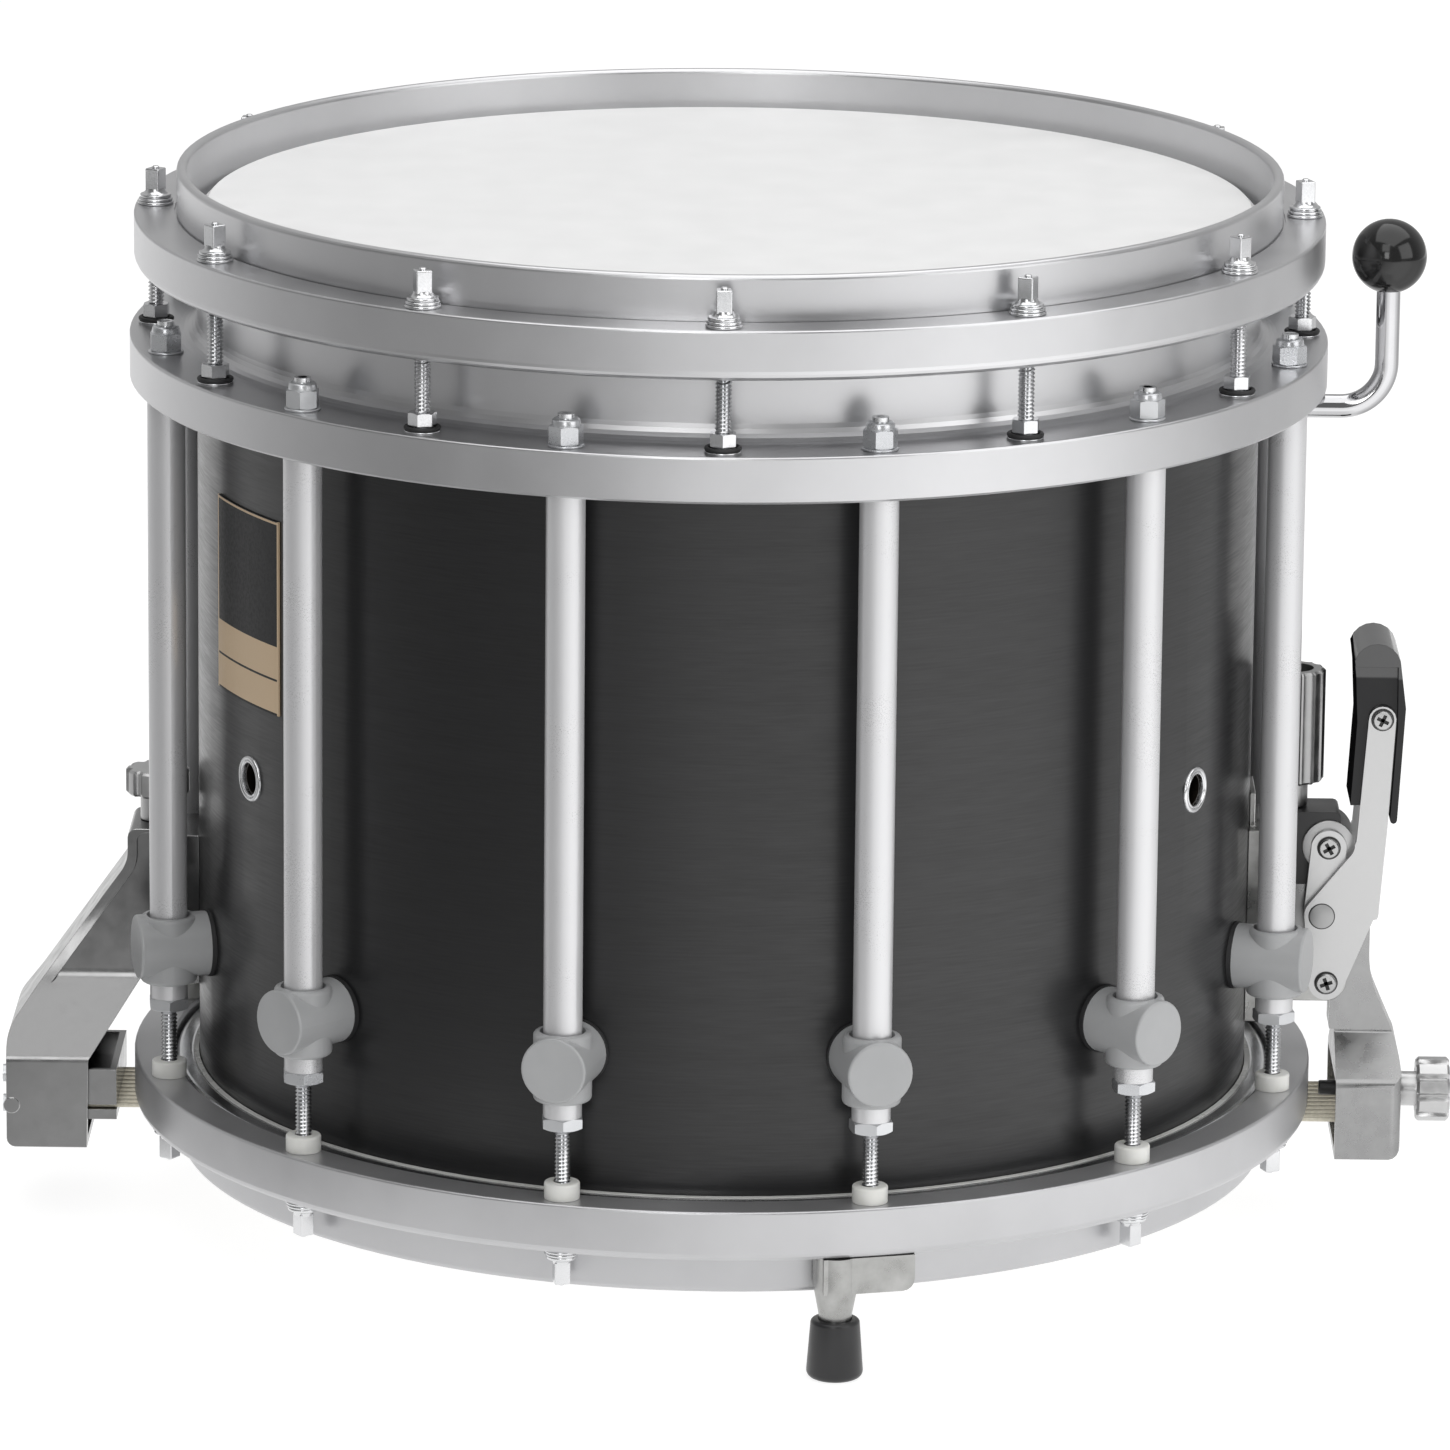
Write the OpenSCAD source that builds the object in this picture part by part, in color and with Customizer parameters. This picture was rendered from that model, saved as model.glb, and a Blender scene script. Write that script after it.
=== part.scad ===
// Marching snare drum with a free-floating shell, tube lugs and a lever strainer.
// Millimetres, +Z up, origin on the drum axis at the plane of the feet.
// The front of the drum faces -Y, the strainer is at +X and the butt plate at -X.

/* [Shell] */
// Outer diameter of the wooden shell
shell_d = 355; // [340:1:370]
// Thickness of the shell's ply
shell_wall = 7.5; // [6:0.5:9]
// Height of the shell from its lower bearing edge to its seat in the top ring
shell_h = 259.7; // [240:1:280]
// Diameter of the vent holes
vent_bore = 10.6; // [8:0.1:12]

/* [Stack] */
// Height of the lower rim above the floor
floor_gap = 26; // [22:1:32]
// Depth of the snare head inside the lower rim
snare_recess = 14.3; // [12:0.1:14.4]
// Height of the lower hoop's rim below its flange
bottom_rim_h = 15; // [14.6:0.1:18]
// Thickness of the lower hoop's flange
bottom_flange_h = 16.7; // [14:0.1:20]
// Thickness of the top ring's flange
ring_h = 15.2; // [13:0.1:20]
// Depth of the shell's seat inside the top ring
ring_seat = 9.7; // [6:0.1:11]
// Height of the batter bearing edge above the top ring's flange
collar_h = 42.4; // [40:0.1:44]
// Gap between the top ring and the batter hoop
hoop_gap = 23.7; // [22:0.1:25]
// Thickness of the batter hoop's flange
hoop_flange_h = 16.5; // [15:0.1:18]
// Height of the batter hoop's rim above its flange
hoop_rim_h = 14.9; // [12:0.1:18]

/* [Rings and hoops] */
// Radial step from the shell to the tension rods' circle
rod_step = 14; // [13.6:0.1:15]
// Radial step from the shell to the top ring's outer edge
ring_step = 22.5; // [21:0.1:26]
// Radial step from the shell to the batter hoop's outer edge
hoop_step = 20.9; // [20.4:0.1:24]
// Radial step from the shell to the lower hoop's outer edge
bottom_step = 22.1; // [21.4:0.1:25]
// Wall of the hoops' rims
rim_wall = 3.6; // [3:0.1:4.4]
// Thickness of the drum heads' film
film = 0.35; // [0.2:0.05:0.5]

/* [Tension hardware] */
// Number of tension rods round each head
lugs = 12; // [12]
// Diameter of the rods and studs
rod_d = 5.5; // [5:0.1:6]
// Width of the rods' square key heads
key_w = 5.2; // [4.6:0.1:6]
// Outer diameter of the tubes
tube_d = 12.6; // [11:0.1:13.4]
// Outer diameter of the lugs' cross barrel
lug_d = 21.6; // [20:0.1:23]
// Outer diameter of the lugs' upright collar
lug_collar_d = 19; // [17:0.1:20]
// Height of the lugs' centre above the lower hoop's flange
lug_up = 45.3; // [42:0.1:60]
// Diameter of the nylon bushes on the lower hoop
bush_d = 11.6; // [10:0.1:12.4]

/* [Feet] */
// Largest diameter of the rubber feet
foot_d = 18.4; // [16:0.1:21]
// Height of the foot brackets
bracket_h = 12; // [10:0.1:13]

/* [Strainer] */
// Distance of the lever's pivots from the shell
pivot_out = 26.7; // [26:0.1:28]
// Height of the lever's fixed pivot above the floor
pivot_z = 84.9; // [84:0.1:88]
// Distance between the lever's pivot and the link's upper pivot
toggle_h = 46.6; // [46:0.1:48]
// Inward offset of the middle rivet from the line of the pivots
toggle_lock = 2; // [1:0.1:3]
// Thickness of the lever and link plates
plate_t = 2; // [1.6:0.1:2.2]
// Diameter of the tall height knob
height_knob_d = 21.2; // [20:0.1:22.4]
// Diameter of the strand tension knob
tension_knob_d = 22; // [20:0.1:24]

/* [Snares] */
// Number of gut strands under the lower head
strands = 10; // [8:1:11]
// Distance between neighbouring strands
strand_pitch = 4.8; // [4.8:0.1:5]
// Diameter of a strand
strand_d = 1.6; // [1.2:0.1:1.8]
// Diameter of the ball lever's rod
ball_rod_d = 8; // [7:0.1:9]
// Diameter of the ball on the upper snare lever
ball_d = 25; // [22:0.5:28]

/* [Hidden] */
$fn = 48;

// Clearances
run_gap = 0.05;
body_gap = 0.3;
thread_gap = 0.05;

// Radii
shell_r = shell_d / 2;
inner_r = shell_r - shell_wall;
crest_r = shell_r - 3.8;
film_in_r = shell_r + 0.3;
flesh_in_r = film_in_r + film + run_gap;
flesh_w = 7.4;
flesh_out_r = flesh_in_r + flesh_w;
pocket_r = flesh_out_r + 0.8;
rim_in_r = shell_r + 3.1;
rim_out_r = rim_in_r + rim_wall;
rod_r = rod_d / 2;
rod_circle = shell_r + rod_step;
ring_r = shell_r + ring_step;
hoop_r = shell_r + hoop_step;
bottom_r = shell_r + bottom_step;
tube_r = tube_d / 2;

// Heights
bottom_flange_z = floor_gap + bottom_rim_h;
bottom_top_z = bottom_flange_z + bottom_flange_h;
shell_z = floor_gap + snare_recess;
shell_top = shell_z + shell_h;
ring_z = shell_top - ring_seat;
ring_top = ring_z + ring_h;
crest_z = ring_top + collar_h;
hoop_z = ring_top + hoop_gap;
hoop_top = hoop_z + hoop_flange_h;
rim_top = hoop_top + hoop_rim_h;
batter_pocket_z = hoop_top - 5.8;
snare_ledge_z = bottom_flange_z + 6;
lug_z = bottom_top_z + lug_up;
tube_end_z = lug_z - 17.7;
pitch_angle = 360 / lugs;
foot_angles = [15, 135, -135];
vent_angles = [-61, 61];
vent_z = shell_z + 0.5 * shell_h;

// Snare line, shared by the clamps, the boxes round them and the gates in the lower rim
strand_z = shell_z - film - run_gap - body_gap - strand_d / 2;
strand_y = [for (i = [0 : strands - 1]) (i - (strands - 1) / 2) * strand_pitch];
jaw_edge = 2.2;
jaw_half = strand_y[strands - 1] + strand_d / 2 + jaw_edge;
box_wall = 3;
box_half = jaw_half + body_gap + box_wall;

// Copies children round the drum, with -Y of each copy pointing outwards
module polar(radius, start = 0) {
  for (i = [0 : lugs - 1]) rotate([0, 0, start + i * pitch_angle]) translate([0, -radius, 0]) children();
}

// Copies children at the given angles from the front
module at_angles(angles, radius) {
  for (a = angles) rotate([0, 0, a]) translate([0, -radius, 0]) children();
}

// Radial cylinder from radius r0 to r1, through the front of the drum
module radial(r0, r1, radius, z) {
  translate([0, -r0, z]) rotate([90, 0, 0]) cylinder(h = r1 - r0, r = radius);
}

// Cylinder along X between two stations
module along_x(x0, x1, radius, y = 0, z = 0) {
  translate([x0, y, z]) rotate([0, 90, 0]) cylinder(h = x1 - x0, r = radius);
}

// Cylinder along Y between two stations
module along_y(y0, y1, radius, x = 0, z = 0) {
  translate([x, y1, z]) rotate([90, 0, 0]) cylinder(h = y1 - y0, r = radius);
}

// Outline in X and Z, thickened in Y between two stations
module plate_y(y0, y1) {
  translate([0, y1, 0]) rotate([90, 0, 0]) linear_extrude(y1 - y0) children();
}

// Outline in Y and Z, thickened in X between two stations
module plate_x(x0, x1) {
  translate([x0, 0, 0]) rotate([90, 0, 90]) linear_extrude(x1 - x0) children();
}

// Everything inside a radius, for pieces that follow the shell's curve
module inside(radius) {
  cylinder(h = rim_top, r = radius, $fn = 120);
}

// Points of an arc, for rounded profiles
function arc(centre, radius, a0, a1, n = 5) =
  [for (i = [0 : n]) let (a = a0 + (a1 - a0) * i / n)
    [centre[0] + radius * cos(a), centre[1] + radius * sin(a)]];

// Angle of the slope that joins two uprights dx apart over a drop dz, with bends of joint radius r
function slope_turn(dx, dz, r) =
  atan2(dz, r - dx) - acos(r / sqrt(dz * dz + (r - dx) * (r - dx)));

// Points of an S-shaped step from a low point on the outer upright to a high point on the inner one
function s_step(low, high, low_r, high_r, n = 5) =
  let (turn = slope_turn(low[0] - high[0], high[1] - low[1], low_r + high_r))
  concat(
    arc([low[0] - low_r, low[1]], low_r, 0, turn, n),
    arc([high[0] + high_r, high[1]], high_r, 180 + turn, 180, n)
  );

// Closed outline from the points of its right half, in order from the bottom up
function both_halves(points) =
  concat(points, [for (i = [len(points) - 1 : -1 : 0]) [-points[i][0], points[i][1]]]);

// Ring-shaped washer or nut blank
module washer(z0, height, outer, bore) {
  translate([0, 0, z0]) difference() {
    cylinder(h = height, r = outer);
    translate([0, 0, -1]) cylinder(h = height + 2, r = bore);
  }
}

// Hexagon nut with a plain bore
module hex_nut(z0, height, across_corners, bore) {
  translate([0, 0, z0]) difference() {
    cylinder(h = height, d = across_corners, $fn = 6);
    translate([0, 0, -1]) cylinder(h = height + 2, r = bore);
  }
}

// Knob with a scalloped grip, standing on z = 0
module fluted_knob(height, diameter, flutes, flute_r, edge) {
  difference() {
    rotate_extrude() polygon([
      [0, 0], [diameter / 2 - edge, 0], [diameter / 2, edge],
      [diameter / 2, height - edge], [diameter / 2 - edge, height], [0, height]
    ]);
    for (i = [0 : flutes - 1]) rotate([0, 0, i * 360 / flutes])
      translate([diameter / 2 + 0.45 * flute_r, 0, -1]) cylinder(h = height + 2, r = flute_r, $fn = 24);
  }
}

// Shell
bearing_bevel = 3.8;
vent_flange_r = vent_bore / 2 + 2.5;
vent_tube_r = vent_bore / 2 + 0.8;
lug_screw_r = 2.5;

module shell() {
  color([0.12, 0.12, 0.13]) difference() {
    rotate_extrude($fn = 120) polygon([
      [inner_r, shell_z + shell_wall - bearing_bevel], [crest_r, shell_z],
      [shell_r, shell_z + bearing_bevel], [shell_r, shell_top], [inner_r, shell_top]
    ]);
    polar(0, pitch_angle / 2) radial(inner_r - 2, shell_r + 2, lug_screw_r + thread_gap, lug_z);
    at_angles(vent_angles, 0) radial(inner_r - 2, shell_r + 2, vent_tube_r + run_gap, vent_z);
    for (z = strainer_screw_z) rotate([0, 0, 90])
      radial(inner_r - 2, shell_r + 2, base_screw_r + thread_gap, z);
    for (z = butt_screw_z) rotate([0, 0, -90])
      radial(inner_r - 2, shell_r + 2, base_screw_r + thread_gap, z);
    rotate([0, 0, 90]) radial(inner_r - 2, shell_r + 2, bush_barrel_r + thread_gap, ball_axis_z);
  }
}

// Flanged metal eyelets in the two vent holes
module vent_grommets() {
  lip = 1.1;
  color("silver") at_angles(vent_angles, 0) difference() {
    union() {
      radial(inner_r - lip, shell_r + lip, vent_tube_r, vent_z);
      difference() {
        radial(shell_r - 1, shell_r + lip, vent_flange_r, vent_z);
        inside(shell_r);
      }
      intersection() {
        radial(inner_r - lip, inner_r + 1, vent_flange_r, vent_z);
        inside(inner_r);
      }
    }
    radial(inner_r - 5, shell_r + 5, vent_bore / 2, vent_z);
  }
}

// Plain plate on the left of the shell, bent to the shell's curve
badge_angle = -62.2;
badge_w = 47.5;
badge_h = 65;
badge_t = 0.6;
badge_z = vent_z + 58;

module badge_plate() {
  half = badge_w / 2 / shell_r * 180 / PI;
  color([0.75, 0.62, 0.42]) rotate([0, 0, badge_angle - 90 - half])
    translate([0, 0, badge_z - badge_h / 2])
      rotate_extrude(angle = 2 * half, $fn = 120)
        translate([shell_r + run_gap, 0]) square([badge_t, badge_h]);
}

// Aluminium ring that seats the shell, carries the tubes and forms the batter bearing edge
cove = 6;

module top_ring() {
  edge = 0.8;
  color([0.74, 0.75, 0.76]) difference() {
    rotate_extrude($fn = 120) polygon(concat(
      [[shell_r + run_gap, ring_z], [ring_r - edge, ring_z], [ring_r, ring_z + edge]],
      arc([ring_r - edge, ring_top - edge], edge, 0, 90, 3),
      arc([shell_r + cove, ring_top + cove], cove, 270, 180, 6),
      [[shell_r, crest_z - (shell_r - crest_r)], [crest_r, crest_z],
       [inner_r, crest_z - (crest_r - inner_r)], [inner_r, shell_top], [shell_r + run_gap, shell_top]]
    ));
    polar(rod_circle) translate([0, 0, ring_z - 1]) cylinder(h = ring_h + 2, r = rod_r + thread_gap);
    polar(rod_circle, pitch_angle / 2)
      translate([0, 0, ring_z - 1]) cylinder(h = ring_h + 2, r = rod_r + thread_gap);
    for (z = hinge_screw_z) rotate([0, 0, -90])
      radial(inner_r - 2, hinge_screw_end + thread_gap, hinge_screw_r + thread_gap, z);
  }
}

// Section of a head's film: flat disc, bevel over the bearing edge, skirt and folded lip.
// up is 1 for the batter head and -1 for the snare head.
lip_w = 1.4;

module head_film(edge_z, lip_z, up) {
  bevel = film_in_r - crest_r;
  inner = edge_z + up * run_gap;
  outer = inner + up * film;
  rotate_extrude($fn = 120) polygon([
    [0, inner], [crest_r, inner], [film_in_r, inner - up * bevel], [film_in_r, lip_z],
    [film_in_r + film + lip_w, lip_z], [film_in_r + film + lip_w, lip_z + up * film],
    [film_in_r + film, lip_z + up * film], [film_in_r + film, inner - up * bevel],
    [crest_r + 0.4 * film, outer], [0, outer]
  ]);
}

// Metal channel crimped round a head's film
module flesh_hoop(z0, z1) {
  soft = 2;
  rotate_extrude($fn = 120) polygon(concat(
    [[flesh_in_r, z0], [flesh_out_r - soft, z0]],
    arc([flesh_out_r - soft, z0 + soft], soft, -90, 0, 4),
    arc([flesh_out_r - soft, z1 - soft], soft, 0, 90, 4),
    arc([flesh_in_r + soft, z1 - soft], soft, 90, 180, 4)
  ));
}

batter_lip_z = hoop_z + 1;
snare_lip_z = bottom_top_z - 1.1;

module batter_head() {
  color([0.95, 0.95, 0.94]) head_film(crest_z, batter_lip_z, 1);
}

module batter_flesh_hoop() {
  color("silver") flesh_hoop(batter_lip_z + film, batter_pocket_z);
}

module snare_head() {
  color([0.93, 0.93, 0.9, 0.8]) head_film(shell_z, snare_lip_z, -1);
}

module snare_flesh_hoop() {
  color("silver") flesh_hoop(snare_ledge_z, snare_lip_z - film);
}

// Cast batter hoop: flange with a pocket for the flesh hoop, ledge, foot groove and upright rim
rod_hole_r = rod_r + 0.45;
rim_soft = 1.5;

module batter_hoop() {
  under = 3.5;
  edge = 0.8;
  groove = 0.7;
  color([0.74, 0.75, 0.76]) difference() {
    rotate_extrude($fn = 120) polygon(concat(
      [[pocket_r, hoop_z]],
      arc([hoop_r - under, hoop_z + under], under, -90, 0, 5),
      arc([hoop_r - edge, hoop_top - edge], edge, 0, 90, 3),
      [[rim_out_r + groove, hoop_top], [rim_out_r + groove, hoop_top - groove],
       [rim_out_r, hoop_top - groove]],
      arc([rim_out_r - rim_soft, rim_top - rim_soft], rim_soft, 0, 90, 4),
      arc([rim_in_r + rim_soft, rim_top - rim_soft], rim_soft, 90, 180, 4),
      [[rim_in_r, batter_pocket_z], [pocket_r, batter_pocket_z]]
    ));
    polar(rod_circle) translate([0, 0, hoop_z - 1]) cylinder(h = hoop_flange_h + 2, r = rod_hole_r);
  }
}

// Cast lower hoop, with a gate in the rim at each end of the snares
gate_half = box_half;
bush_spigot_r = 3.9;

module bottom_hoop() {
  under = 2.5;
  edge = 0.8;
  color([0.74, 0.75, 0.76]) difference() {
    rotate_extrude($fn = 120) polygon(concat(
      [[rim_in_r, snare_ledge_z]],
      arc([rim_in_r + rim_soft, floor_gap + rim_soft], rim_soft, 180, 270, 4),
      arc([rim_out_r - rim_soft, floor_gap + rim_soft], rim_soft, -90, 0, 4),
      [[rim_out_r, bottom_flange_z]],
      arc([bottom_r - under, bottom_flange_z + under], under, -90, 0, 4),
      arc([bottom_r - edge, bottom_top_z - edge], edge, 0, 90, 3),
      [[pocket_r + edge, bottom_top_z], [pocket_r, bottom_top_z - edge], [pocket_r, snare_ledge_z]]
    ));
    for (side = [-1, 1]) translate([side * shell_r - 20, -gate_half, floor_gap - 5])
      cube([40, 2 * gate_half, bottom_rim_h + 5]);
    polar(rod_circle, pitch_angle / 2) translate([0, 0, bottom_flange_z - 1])
      cylinder(h = bottom_flange_h + 2, r = bush_spigot_r + run_gap);
  }
}

// Square key head on a coned flange, with its seat at z = 0 and its tip upwards
key_flange_r = 5.2;
key_flange_h = 1.2;
key_cone_h = 1.8;
key_cone_r = 4.3;
key_neck_r = 2.9;
key_h = 6.8;
key_tip = 0.7;
key_tip_r = 1.2;

module key_head() {
  key_z = key_flange_h + key_cone_h;
  cylinder(h = key_flange_h, r = key_flange_r);
  translate([0, 0, key_flange_h]) cylinder(h = key_cone_h, r1 = key_cone_r, r2 = key_neck_r);
  translate([-key_w / 2, -key_w / 2, key_flange_h]) cube([key_w, key_w, key_cone_h + key_h]);
  translate([0, 0, key_z + key_h]) cylinder(h = key_tip, r = key_tip_r);
}

washer_t = 1.1;
washer_r = 6;
washer_step = 0.3;
washer_gap = 0.15;
top_seat_z = hoop_top + 2 * washer_t;

module top_tension_rods() {
  end_z = ring_z + 2;
  color("gainsboro") polar(rod_circle) union() {
    translate([0, 0, top_seat_z]) key_head();
    translate([0, 0, end_z]) cylinder(h = top_seat_z - end_z + 0.5, r = rod_r);
  }
}

module top_rod_washers() {
  color("silver") polar(rod_circle) {
    washer(hoop_top, washer_t, washer_r, rod_r + washer_gap);
    washer(hoop_top + washer_t, washer_t, washer_r - washer_step, rod_r + washer_gap);
  }
}

// Rubber rings and thin nuts that lock the batter rods on the top ring
o_ring_r = 0.95;
o_ring_centre = 5.1;
rod_nut_h = 4.4;
rod_nut_d = 9.4;

module top_rod_o_rings() {
  color([0.08, 0.08, 0.08]) polar(rod_circle) translate([0, 0, ring_top + o_ring_r])
    rotate_extrude() translate([o_ring_centre, 0]) circle(r = o_ring_r, $fn = 24);
}

module top_rod_nuts() {
  color("silver") polar(rod_circle)
    hex_nut(ring_top + 2 * o_ring_r, rod_nut_h, rod_nut_d, rod_r + thread_gap);
}

// Lock nuts, washers and studs that hold the tubes to the top ring
lock_washer_t = 0.8;
lock_nut_h = 6;
lock_dome_h = 2.4;
lock_nut_d = 11.4;
stud_down = 28;
stud_out = 1.4;

module ring_nut_washers() {
  color("silver") polar(rod_circle, pitch_angle / 2)
    washer(ring_top, lock_washer_t, 5.9, rod_r + thread_gap);
}

module ring_lock_nuts() {
  z0 = ring_top + lock_washer_t;
  color("silver") polar(rod_circle, pitch_angle / 2) difference() {
    union() {
      translate([0, 0, z0]) cylinder(h = lock_nut_h, d = lock_nut_d, $fn = 6);
      translate([0, 0, z0 + lock_nut_h]) cylinder(h = lock_dome_h, r1 = 4.7, r2 = 3.5);
    }
    translate([0, 0, z0 - 1]) cylinder(h = lock_nut_h + lock_dome_h + 2, r = rod_r + thread_gap);
  }
}

module tube_studs() {
  top = ring_top + lock_washer_t + lock_nut_h + lock_dome_h + stud_out;
  color("gainsboro") polar(rod_circle, pitch_angle / 2)
    translate([0, 0, ring_z - stud_down]) cylinder(h = top - ring_z + stud_down, r = rod_r);
}

module tension_tubes() {
  color([0.88, 0.89, 0.9]) polar(rod_circle, pitch_angle / 2)
    washer(tube_end_z, ring_z - tube_end_z, tube_r, rod_r + thread_gap);
}

// Moulded lug: a cross barrel on the shell and an upright collar with a wider mouth round the tube
lug_face = 11;
lug_top = 10.6;
lug_foot = 12.3;
lug_round = 1.4;
lug_mouth = 1.1;
lug_mouth_h = 2.6;
gasket_t = 1.2;
lug_back = rod_step - gasket_t;
lug_soft = 0.8;

module tube_lugs() {
  collar_r = lug_collar_d / 2;
  color([0.62, 0.63, 0.63]) polar(rod_circle, pitch_angle / 2) difference() {
    union() {
      translate([0, lug_back, lug_z]) rotate([90, 0, 0]) rotate_extrude() polygon(concat(
        [[0, 0], [lug_d / 2, 0]],
        arc([lug_d / 2 - lug_soft, lug_face + lug_back - lug_soft], lug_soft, 0, 90, 3),
        [[0, lug_face + lug_back]]
      ));
      translate([0, 0, lug_z]) rotate_extrude() polygon(concat(
        [[0, -lug_foot]],
        arc([collar_r - lug_round, lug_round - lug_foot], lug_round, -90, 0, 4),
        arc([collar_r - lug_round, lug_top - lug_round], lug_round, 0, 90, 4),
        [[0, lug_top]]
      ));
    }
    translate([0, 0, lug_z - lug_d]) cylinder(h = 2 * lug_d, r = tube_r + run_gap);
    translate([0, 0, lug_z + lug_top - lug_mouth_h]) cylinder(h = lug_d, r = tube_r + lug_mouth);
    along_y(lug_back - lug_screw_in, lug_back + 1, lug_screw_r + thread_gap, 0, lug_z);
  }
}

module lug_gaskets() {
  color([0.06, 0.06, 0.06]) polar(0, pitch_angle / 2) difference() {
    radial(shell_r - 1, shell_r + gasket_t, lug_d / 2 + 0.5, lug_z);
    inside(shell_r + run_gap);
    radial(shell_r - 2, shell_r + 3, lug_screw_r + thread_gap, lug_z);
  }
}

// Screw from inside the shell's front: head, curved washer and a shank out to the given reach
wall_head_h = 3;
wall_head_r = 4.5;
wall_washer_h = 1.5;
wall_washer_r = 6.2;

module wall_screw(z, reach, shank_r) {
  seat = inner_r - wall_washer_h;
  radial(seat - wall_head_h, seat, wall_head_r, z);
  intersection() {
    radial(seat, inner_r + 1, wall_washer_r, z);
    inside(inner_r);
  }
  radial(seat, reach, shank_r, z);
}

// Screws from inside the shell, one into the back of each lug
lug_screw_in = rod_step - gasket_t - tube_r - 0.6;

module lug_screws() {
  color("silver") polar(0, pitch_angle / 2) union()
    wall_screw(lug_z, shell_r + gasket_t + lug_screw_in, lug_screw_r);
}

// Lower tension rods with their end nuts, bushes and washers
end_nut_h = 4;
end_nut_d = 14.6;
bush_h = 5.6;
bottom_seat_z = bottom_flange_z - 2 * washer_t;
foot_rod_z = bottom_flange_z - bracket_h + 2;
bottom_rod_top = tube_end_z + 24;

function has_foot(a) = len([for (f = foot_angles) if (abs((f - a + 540) % 360 - 180) < 1) f]) > 0;
lower_angles = [for (i = [0 : lugs - 1]) (i + 0.5) * pitch_angle];
free_angles = [for (a = lower_angles) if (!has_foot(a)) a];

module tube_end_nuts() {
  color("silver") polar(rod_circle, pitch_angle / 2)
    hex_nut(tube_end_z - end_nut_h, end_nut_h, end_nut_d, rod_r + thread_gap);
}

module bottom_tension_rods() {
  color("gainsboro") {
    at_angles(free_angles, rod_circle) union() {
      translate([0, 0, bottom_seat_z]) mirror([0, 0, 1]) key_head();
      translate([0, 0, bottom_seat_z - 0.5])
        cylinder(h = bottom_rod_top - bottom_seat_z + 0.5, r = rod_r);
    }
    at_angles(foot_angles, rod_circle)
      translate([0, 0, foot_rod_z]) cylinder(h = bottom_rod_top - foot_rod_z, r = rod_r);
  }
}

module bottom_rod_washers() {
  color("silver") at_angles(free_angles, rod_circle) {
    washer(bottom_flange_z - washer_t, washer_t, washer_r, rod_r + washer_gap);
    washer(bottom_seat_z, washer_t, washer_r - washer_step, rod_r + washer_gap);
  }
}

module bottom_bushes() {
  chamfer = 1;
  color([0.93, 0.93, 0.9]) polar(rod_circle, pitch_angle / 2) difference() {
    translate([0, 0, bottom_top_z]) rotate_extrude() polygon([
      [0, 0.4 - bottom_flange_h], [bush_spigot_r, 0.4 - bottom_flange_h], [bush_spigot_r, 0],
      [bush_d / 2, 0], [bush_d / 2, bush_h - chamfer], [bush_d / 2 - chamfer, bush_h], [0, bush_h]
    ]);
    translate([0, 0, bottom_flange_z - 1]) cylinder(h = bottom_flange_h + bush_h + 2, r = rod_r + 0.1);
  }
}

// Feet: cast brackets under the lower hoop, each with a leg in a rubber boot
leg_r = 5.9;
leg_at = -11.5;
leg_pin_r = 4;
rubber_h = 23.5;

module foot_brackets() {
  bracket_z = bottom_flange_z - bracket_h;
  left = leg_at - leg_r + 0.5;
  right = 13.5;
  back = rod_circle - rim_out_r - 0.6;
  soft = 4;
  color([0.66, 0.66, 0.65]) at_angles(foot_angles, rod_circle) difference() {
    union() {
      plate_y(-7, back) polygon(concat(
        [[left, bracket_z], [right - soft, bracket_z]],
        arc([right - soft, bracket_z + soft], soft, -90, 0, 4),
        [[right, bottom_flange_z], [left, bottom_flange_z]]
      ));
      translate([leg_at, -1.6, rubber_h]) rotate_extrude() polygon([
        [0, 0], [leg_r - 0.7, 0], [leg_r - 0.5, 0.4 * (bracket_z - rubber_h)],
        [leg_r + 0.6, bracket_z - rubber_h], [leg_r, bracket_z - rubber_h + 1.5],
        [leg_r, bottom_flange_z - rubber_h], [0, bottom_flange_z - rubber_h]
      ]);
      translate([leg_at, -1.6, 6]) cylinder(h = rubber_h - 5, r = leg_pin_r);
    }
    translate([0, 0, bracket_z + 1]) cylinder(h = bracket_h + 1, r = rod_r + thread_gap);
  }
}

module foot_rubbers() {
  top_r = foot_d / 2 - 1.2;
  soft = 2.4;
  color([0.1, 0.1, 0.11]) at_angles(foot_angles, rod_circle) translate([leg_at, -1.6, 0]) difference() {
    rotate_extrude() polygon(concat(
      [[0, 0], [foot_d / 2 - soft, 0]],
      arc([foot_d / 2 - soft, soft], soft, -90, 0, 5),
      arc([top_r - 1.4, rubber_h - 1.4], 1.4, 0, 90, 4),
      [[0, rubber_h]]
    ));
    translate([0, 0, 6 - run_gap]) cylinder(h = rubber_h, r = leg_pin_r + run_gap);
  }
}

// Strainer: toggle geometry in X and Z
pivot_x = shell_r + pivot_out;
pivot = [pivot_x, pivot_z];
link_top_z = pivot_z + toggle_h;
rivet_x = pivot_x - toggle_lock;
rivet_z = pivot_z + toggle_h / 2;
rivet = [rivet_x, rivet_z];
pin_r = 2.5;
pin_head_r = 3.5;
pin_head_h = 1.6;
base_t = 7.2;
base_front = shell_r + base_t;
base_half = 18;
base_up = 53.6;
base_down = 13;
ear_in = 9;
ear_out = 12.7;
link_in = 10.7;
lever_in = 13;
lever_out = lever_in + plate_t;
base_screw_r = 2.5;
base_screw_skin = 1.2;
strainer_screw_low = 12;
strainer_screw_high = 45;
strainer_screw_z = [pivot_z + strainer_screw_low, pivot_z + strainer_screw_high];

module both_sides() {
  children();
  mirror([0, 1, 0]) children();
}

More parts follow.
